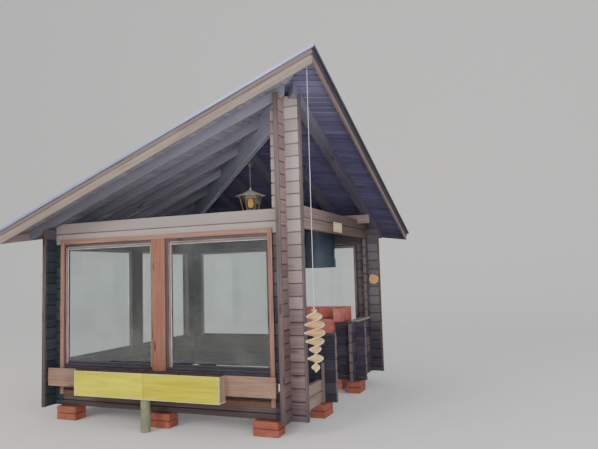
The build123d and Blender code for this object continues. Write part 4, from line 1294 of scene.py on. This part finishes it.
@dataclass
class Fireplace:
    """Brick hearth open to the front: ring courses round a mortar core, with a raised fire floor."""

    right: float = RIGHT - 0.270
    width: float = 0.940
    front: float = FRONT + 2.550
    depth: float = 0.600
    top: float = 1.200
    wall: float = 0.110
    floor: float = 1.035
    courses: int = 11
    brick_l: float = 0.250
    joint: float = 0.010
    short: float = 0.030
    paver: Span = (0.112, 0.237)
    paver_gap: float = 0.008
    core_low: float = 0.95
    core_in: float = 0.006

    def row(self, run: Run, start: float, end: float, near: float, level: float, share: float) -> list[Box]:
        """Lay one row of bricks.

        Args:
            run: Direction of the row.
            start: Where it starts along it.
            end: Where it ends.
            near: Lower side coordinate of the row.
            level: Bottom of its bed joint.
            share: How far the first cut brick reaches, as a share of a brick.

        Returns:
            The box of each brick.
        """
        low, high = level + self.joint / 2, level + self.top / self.courses - self.joint / 2
        if near == self.front:
            high = min(high, self.floor)
        marks = np.arange(start + self.brick_l * share, end - self.short, self.brick_l)
        marks = np.array([start - self.joint / 2, *marks[marks > start + self.short], end + self.joint / 2])
        ends = zip(marks[:-1] + self.joint / 2, marks[1:] - self.joint / 2)
        far = near + self.wall
        return [(run.point(first, near, low), run.point(last, far, high)) for first, last in ends]

    def course(self, turn: int) -> list[Box]:
        """Lay one course: rows along the sides, front and back, that lap at the corners by turns."""
        left, back = self.right - self.width, self.front + self.depth
        level = turn * self.top / self.courses
        open_front = level > self.floor - 0.05
        odd = turn % 2
        inner = self.wall + self.joint
        side = (self.front + (0 if odd or open_front else inner), back - (0 if odd else inner))
        across = (left + (inner if odd else 0), self.right - (inner if odd else 0))
        boxes = []
        for near in (left, self.right - self.wall):
            boxes += self.row(Run.Y, *side, near, level, 0.5 if odd else 0.96)
        for near in (back - self.wall,) if open_front else (back - self.wall, self.front):
            boxes += self.row(Run.X, *across, near, level, 1.0 if odd else 0.5)
        return boxes

    def build(self) -> None:
        """Lay the bricks, the fire floor and the mortar core."""
        left, back, front, right = self.right - self.width, self.front + self.depth, self.front, self.right
        (long_x, long_y), gap = self.paver, self.paver_gap
        inner_x, inner_y = (left + self.wall, right - self.wall), (front + self.wall, back - self.wall)
        bricks = [box for turn in range(self.courses) for box in self.course(turn)]
        for x in np.arange(inner_x[0], inner_x[1] - 0.05, long_x + gap):
            for y in np.arange(inner_y[0] + self.joint, inner_y[1] - 0.05, long_y + gap):
                far = (min(x + long_x, inner_x[1]), min(y + long_y, inner_y[1]))
                bricks.append(((x, y, self.floor - 0.06), (*far, self.floor + 0.001)))
        boards("hearth_bricks", 81, RED_BRICK, "red_brick", bricks, ["brick_fireplace"], ease=0.004)
        spans = [(left, right, front, 0.0, self.floor - 0.01)]
        high = self.top - self.core_in
        for x0, x1, y in ((left, inner_x[0], front), (inner_x[1], right, front), (left, right, inner_y[1])):
            spans.append((x0, x1, y, self.core_low, high))
        core = [
            ((x0 + self.core_in, y + self.core_in, low), (x1 - self.core_in, back - self.core_in, top))
            for x0, x1, y, low, top in spans
        ]
        boards("hearth_mortar", 82, MORTAR, "red_brick", core, ease=0.002)


@dataclass
class Footing:
    """Brick blocks under the walls, two courses each."""

    length: float = 0.300
    width: float = 0.190
    inward: float = 0.290
    stubs: Span = (0.970, 2.450)
    bed: Span = (0.080, 0.085)

    def build(self) -> None:
        """Lay two courses at each spot."""
        middle_x, middle_y, half = (LEFT + RIGHT) / 2, (FRONT + BACK) / 2, LOG_T / 2
        places = (LEFT + self.inward, middle_x, RIGHT - self.inward)
        along_x = [(x, y) for x in places for y in (FRONT + half, BACK - half)]
        along_y = [(LEFT + half, middle_y), *((RIGHT - half, FRONT + y + half) for y in self.stubs)]
        groups = ((along_x, self.length, self.width), (along_y, self.width, self.length))
        blocks = [
            ((x - size_x / 2, y - size_y / 2, low), (x + size_x / 2, y + size_y / 2, high))
            for spots, size_x, size_y in groups
            for x, y in spots
            for low, high in ((0.0, self.bed[0]), (self.bed[1], BASE))
        ]
        boards("footing_bricks", 85, BLOCK_BRICK, "red_brick", blocks, ["foundation_blocks"], ease=0.006)


@dataclass
class Lantern:
    """Six sided brass lantern under a shallow flared roof, on its rod and hanger."""

    along: float = 2.045
    top: float = 2.858
    roof: float = 0.093
    roof_rise: float = 0.078
    width: float = 0.385
    body: float = 0.200
    body_w: float = 0.290
    foot_w: float = 0.190
    sides: int = 6
    turn: float = math.radians(26.7)
    fork: Span = (3.144, 3.215)
    fork_w: float = 0.092
    bar_w: float = 0.008
    knob: tuple[Span, ...] = (
        (0.004, 0.0), (0.014, 0.003), (0.013, 0.010), (0.007, 0.015), (0.012, 0.023), (0.012, 0.031),
        (0.004, 0.037),
    )

    @property
    def spot(self) -> Span:
        """Place of the lantern's axis on plan."""
        out = self.along / math.sqrt(2)
        return BARGE - out, out - BARGE

    def rings(
        self, name: str, profile: Sequence[Span], finish: Finish, slot: str = "lantern_metal",
        nodes: Sequence[str] = (), smooth: bool = False,
    ) -> None:
        """Build a piece by carrying a profile round the axis.

        Args:
            name: Name of the piece.
            profile: Pairs of radius and height, from the bottom outside upwards.
            finish: Its finish.
            slot: The record's material slot; not used.
            nodes: CAD nodes that it stands for.
            smooth: Whether it is round; if not, it has the lantern's sides.
        """
        radius, height = np.array(profile).T
        around, turn = (20, 0.0) if smooth else (self.sides, self.turn)
        angle = np.arange(around) / around * 2 * np.pi + turn
        x = self.spot[0] + radius[:, None] * np.cos(angle)
        y = self.spot[1] + radius[:, None] * np.sin(angle)
        points = np.stack([x, y, np.broadcast_to(height[:, None], x.shape)], -1).reshape(-1, 3)
        faces = grid_faces(len(profile), around, wrap=True)
        show(mesh_piece(name, points, faces, smooth), finish, nodes)

    def hook(self) -> None:
        """Bend a small forked hook onto the hanger, under the rod."""
        x, y = self.spot
        out = self.fork_w / 2 / math.sqrt(2)
        wires = Timber("hanger_fork", 96, 0.001)
        for way in (-out, out):
            wires.bar((x, y, self.fork[0]), (x + way, y + way, self.fork[1]), 0.006, 0.006)
        wires.build(DARK_BRASS, "rod_steel")

    def cage(self, low: float, eaves: float) -> None:
        """Join the corners of foot and eaves by upright bars, and each ring of corners by level bars."""
        bars = Timber("lantern_bars", 95, 0.002)
        axis = np.array([*self.spot, 0])
        angles = np.arange(self.sides) / self.sides * 2 * np.pi + self.turn
        outs = [np.array([math.cos(angle), math.sin(angle), 0]) for angle in angles]
        foot, body = self.foot_w / 2, self.body_w / 2
        for out in outs:
            start, end = axis + out * foot + (0, 0, low), axis + out * body + (0, 0, eaves)
            bars.bar(tuple(start), tuple(end), self.bar_w, self.bar_w, tuple(out))
        for pair in zip(outs, outs[1:] + outs[:1]):
            for radius, level in ((foot, low + 0.006), (body, eaves - 0.006)):
                bars.bar(*(tuple(axis + out * radius + (0, 0, level)) for out in pair), self.bar_w, 0.012)
        bars.build(DARK_BRASS, "lantern_metal")

    def build(self) -> None:
        """Build the forked hook, roof, knob, glass, bars, foot and bulb."""
        self.hook()
        eaves = self.top - self.roof
        low, half, tip = eaves - self.body, self.width / 2, eaves + self.roof_rise - 0.004
        share = np.linspace(0, 1, 9)
        flare = [(half * (1 - t) ** 1.08 + 0.014 * t + 0.004, eaves + self.roof_rise * t) for t in share]
        under = [(radius - 0.003, height - 0.004) for radius, height in flare[::-1]]
        self.rings("lantern_roof", [*flare, *under, flare[0]], BRASS, nodes=["lantern"])
        knob = [(radius, tip + height) for radius, height in self.knob]
        self.rings("lantern_knob", knob, BRASS, smooth=True)
        glass = [(self.foot_w / 2, low + 0.012), (self.body_w / 2 - 0.006, eaves - 0.002)]
        inner = [(radius - 0.003, height) for radius, height in glass[::-1]]
        self.rings("lantern_glass", [*glass, *inner, glass[0]], LANTERN_GLASS, "pane_glass")
        self.cage(low, eaves)
        edge = self.foot_w / 2 + 0.004
        foot = [(0.002, low - 0.002), (edge, low), (edge, low + 0.01), (0.002, low + 0.012)]
        self.rings("lantern_foot", foot, DARK_BRASS)
        angles = np.linspace(0, np.pi, 16)
        bulb = [(0.002 + 0.036 * math.sin(a) ** 0.8, low + 0.105 - 0.060 * math.cos(a)) for a in angles]
        self.rings("lantern_bulb", bulb, BULB, "pane_glass", smooth=True)


@dataclass
class Ornament:
    """Twisted stack of thin slats on a core, hung on a string."""

    x: float = RIGHT + 0.460
    y: float = FRONT - 0.460
    top: float = 1.410
    low: float = 0.780
    lobes: tuple[Point, ...] = ((0.965, 1.385, 0.205), (0.868, 0.956, 0.155), (0.792, 0.859, 0.080))
    pitch: float = 0.0075
    slat_w: float = 0.018
    core_w: float = 0.010
    half_turn: float = 0.082
    string_top: float = 3.9227
    string_d: float = 0.006

    def slats(self) -> bpy.types.Object:
        """Stack slats whose width follows three lobes and whose angle grows by half a turn every 82 mm."""
        stack = Timber("twist_ornament_slats", 97, 0.0015)
        for low, high, width in self.lobes:
            for z in np.arange(low + self.pitch / 2, high, self.pitch):
                share = math.sin(math.pi * (z - low) / (high - low))
                angle = math.pi * z / self.half_turn
                out = np.array([math.cos(angle), math.sin(angle), 0]) * (width / 2 * max(share, 0.05) ** 0.4)
                centre = np.array([self.x, self.y, z])
                stack.bar(tuple(centre - out), tuple(centre + out), self.slat_w, self.pitch * 0.96)
        ends = [(self.x, self.y, height) for height in (self.low, self.top)]
        stack.bar(*ends, self.core_w, self.core_w, (0, 1, 0))
        return stack.build(SLAT_WOOD, "slat_wood", ["twist_ornament"])

    def string(self, ornament: bpy.types.Object) -> None:
        """Hang the string: a straight spline from the soffit down through the ornament, which is on it."""
        curve = bpy.data.curves.new("ornament_string_line", "CURVE")
        curve.dimensions = "3D"
        curve.bevel_depth = self.string_d / 2
        curve.bevel_resolution = 3
        spline = curve.splines.new("NURBS")
        heights = np.linspace(self.string_top, self.low, 7)
        spline.points.add(len(heights) - 1)
        for point, height in zip(spline.points, heights):
            point.co = (self.x, self.y, float(height), 1.0)
        spline.order_u = 3
        spline.use_endpoint_u = True
        spline.resolution_u = 8
        piece = bpy.data.objects.new("ornament_string_line", curve)
        bpy.context.scene.collection.objects.link(piece)
        show(piece, STRING, ["ornament_string"])

    def build(self) -> None:
        """Build the ornament and its string."""
        self.string(self.slats())


@dataclass
class Trimmings:
    """Blank plaque over the entrance and the slice of a log on the back stack."""

    plaque_y: float = FRONT + 1.580
    plaque_z: float = 2.290
    plaque: Point = (0.016, 0.330, 0.132)
    slice_z: float = 1.612
    rim: tuple[Span, ...] = (
        (45, 84), (118, 70), (166, 34), (158, -42), (100, -74), (40, -68), (4, -20), (14, 48),
    )

    def slab(self, name: str, *layers: Span) -> bpy.types.Object:
        """Carry the slice's outline through layers, each a scale and a depth in front of the logs."""
        rim = np.array(self.rim) / 1000
        centre = rim.mean(0)
        rings = []
        for scale, depth in layers:
            flat = centre + (rim - centre) * scale
            back = np.full(len(rim), NEAR_BACK - depth)
            rings.append(np.stack([RIGHT + flat[:, 0], back, self.slice_z + flat[:, 1]], -1))
        faces = grid_faces(3, 8, wrap=True)[:, ::-1].tolist()
        return mesh_piece(name, np.concatenate(rings), [*faces, range(7, -1, -1), range(16, 24)])

    def build(self) -> None:
        """Build both pieces."""
        low = (RIGHT, self.plaque_y, self.plaque_z)
        box = (low, tuple(np.add(low, self.plaque)))
        boards("plaque_board", 101, PLAQUE_WOOD, "plaque_wood", [box], ["blank_plaque"], ease=0.004)
        piece = self.slab("log_slice", (1.0, 0.0), (1.0, 0.016), (0.93, 0.018))
        points = np.array([vertex.co for vertex in piece.data.vertices])
        x, z = np.mean(self.rim, 0) / 1000
        set_vectors(piece.data, "grain", points[:, [1, 0, 2]] - (0, RIGHT + x, self.slice_z + z))
        set_vectors(piece.data, "tone", np.full(points.shape, 0.45))
        set_vectors(piece.data, "half", np.full(points.shape, 1.0))
        show(piece, SLICE_WOOD, ["wood_slice"])
        bark = self.slab("log_slice_bark", (1.07, 0.0), (1.07, 0.012), (1.0, 0.014))
        show(bark, BARK)


KEPT = {
    "left_roof_cover": ROOF_FELT,
    "right_roof_cover": ROOF_FELT,
    "front_edge_trim": EDGE_METAL,
    "left_edge_trim": EDGE_METAL,
    "right_edge_trim": EDGE_METAL_PAINTED_SHADE,
    "back_edge_trim": EDGE_METAL_PAINTED_SHADE,
    "front_window_glass": PANE,
    "left_window_glass": PANE,
    "back_window_glass": PANE,
    "hood": HOOD_STEEL,
    "flue": HOOD_STEEL,
    "ridge_rod": ROD_STEEL,
    "lantern_hanger": ROD_STEEL,
}


@dataclass
class Studio:
    """Pale floor that sweeps up behind the building, soft lights and the camera."""

    eye: Point = (4.0574, -7.4062, 1.7485)
    yaw: float = -0.3836
    pitch: float = 0.0830
    roll: float = -0.0290
    lens: float = 35.014

    def camera(self) -> None:
        """Place the camera by its yaw, pitch and roll."""
        level = Vector((math.cos(self.yaw), -math.sin(self.yaw), 0))
        ahead = math.cos(self.pitch)
        forward = Vector((math.sin(self.yaw) * ahead, math.cos(self.yaw) * ahead, math.sin(self.pitch)))
        rise = level.cross(forward)
        right = math.cos(self.roll) * level + math.sin(self.roll) * rise
        up = -math.sin(self.roll) * level + math.cos(self.roll) * rise
        data = bpy.data.cameras.new("camera")
        data.lens = self.lens
        data.sensor_width = 36.0
        data.sensor_fit = "HORIZONTAL"
        data.clip_end = 200
        camera = bpy.data.objects.new("camera", data)
        turn = Matrix((right, up, -forward)).transposed()
        camera.matrix_world = Matrix.Translation(self.eye) @ turn.to_4x4()
        bpy.context.scene.collection.objects.link(camera)
        bpy.context.scene.camera = camera

    def floor(self) -> None:
        """Floor: flat, then a quarter circle of 6 m up to an upright wall, carried along X."""
        turn = np.linspace(0, np.pi / 2, 24)
        y = np.concatenate([[-40.0], 10 + 6 * np.sin(turn), [16.0]])
        z = np.concatenate([[0.0], 6 - 6 * np.cos(turn), [24.0]])
        x = np.array([-45.0, 45.0])
        points = np.stack(np.broadcast_arrays(x[:, None], y[None], z[None]), -1).reshape(-1, 3)
        piece = mesh_piece("studio_floor", points, grid_faces(2, len(y))[:, ::-1], smooth=True)
        paint = Coat("matt studio paper", "#F0EEEA", "#EEECE8", roughness=0.9, relief_mm=0.0)
        piece.data.materials.append(material(paint))

    def light(self, name: str, place: Point, target: Point, size: float, power: float, colour: str) -> None:
        """Add a square soft light that faces target."""
        data = bpy.data.lights.new(name, "AREA")
        data.size = size
        data.energy = power
        data.color = linear(colour)[:3]
        lamp = bpy.data.objects.new(name, data)
        away = Vector(place) - Vector(target)
        lamp.matrix_world = Matrix.Translation(place) @ away.to_track_quat("Z", "Y").to_matrix().to_4x4()
        bpy.context.scene.collection.objects.link(lamp)

    def build(self) -> None:
        """Set up camera, floor, lights and the pale surround."""
        self.camera()
        self.floor()
        self.light("key", (-3.5, -13.0, 7.0), (0, 0, 1.8), 5.0, 700, "#FFF6EA")
        self.light("fill", (11.0, -7.0, 6.0), (0, 0, 1.5), 7.0, 380, "#F2F2FF")
        self.light("low", (7.0, -11.0, 2.6), (0, 0, 2.9), 5.0, 600, "#F4F2FA")
        world = bpy.data.worlds.new("studio")
        bpy.context.scene.world = world
        world.use_nodes = True
        world.node_tree.nodes.clear()
        shade = put(world.node_tree, "Background", {"Color": "#E6E8EC", "Strength": 0.85})
        put(world.node_tree, "OutputWorld", {"Surface": shade.outputs[0]})


def main() -> None:
    """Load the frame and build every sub-assembly."""
    logging.basicConfig(level=logging.INFO, format="%(message)s")
    bpy.ops.wm.read_factory_settings(use_empty=True)
    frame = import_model()
    Studio().build()
    Ornament().build()
    LogWork().build()
    Roof().build()
    Window("front", Run.X, BAY_X, FRONT, -1, LEVEL_X + LOG_H, BEAM_X, 200, shift=-0.018).build()
    Window("back", Run.X, BAY_X, NEAR_BACK, 1, LEVEL_X + LOG_H, BEAM_X, 210).build()
    Window("left", Run.Y, BAY_Y, LEFT, -1, LEVEL_Y + 2 * LOG_H, BEAM_Y, 220).build()
    PlantingShelf().build()
    Fireplace().build()
    Footing().build()
    Lantern().build()
    Trimmings().build()
    for name, finish in KEPT.items():
        node = frame["nodes"][name]
        node.data.materials.clear()
        node.data.materials.append(material(finish))


if __name__ == "__main__":
    main()
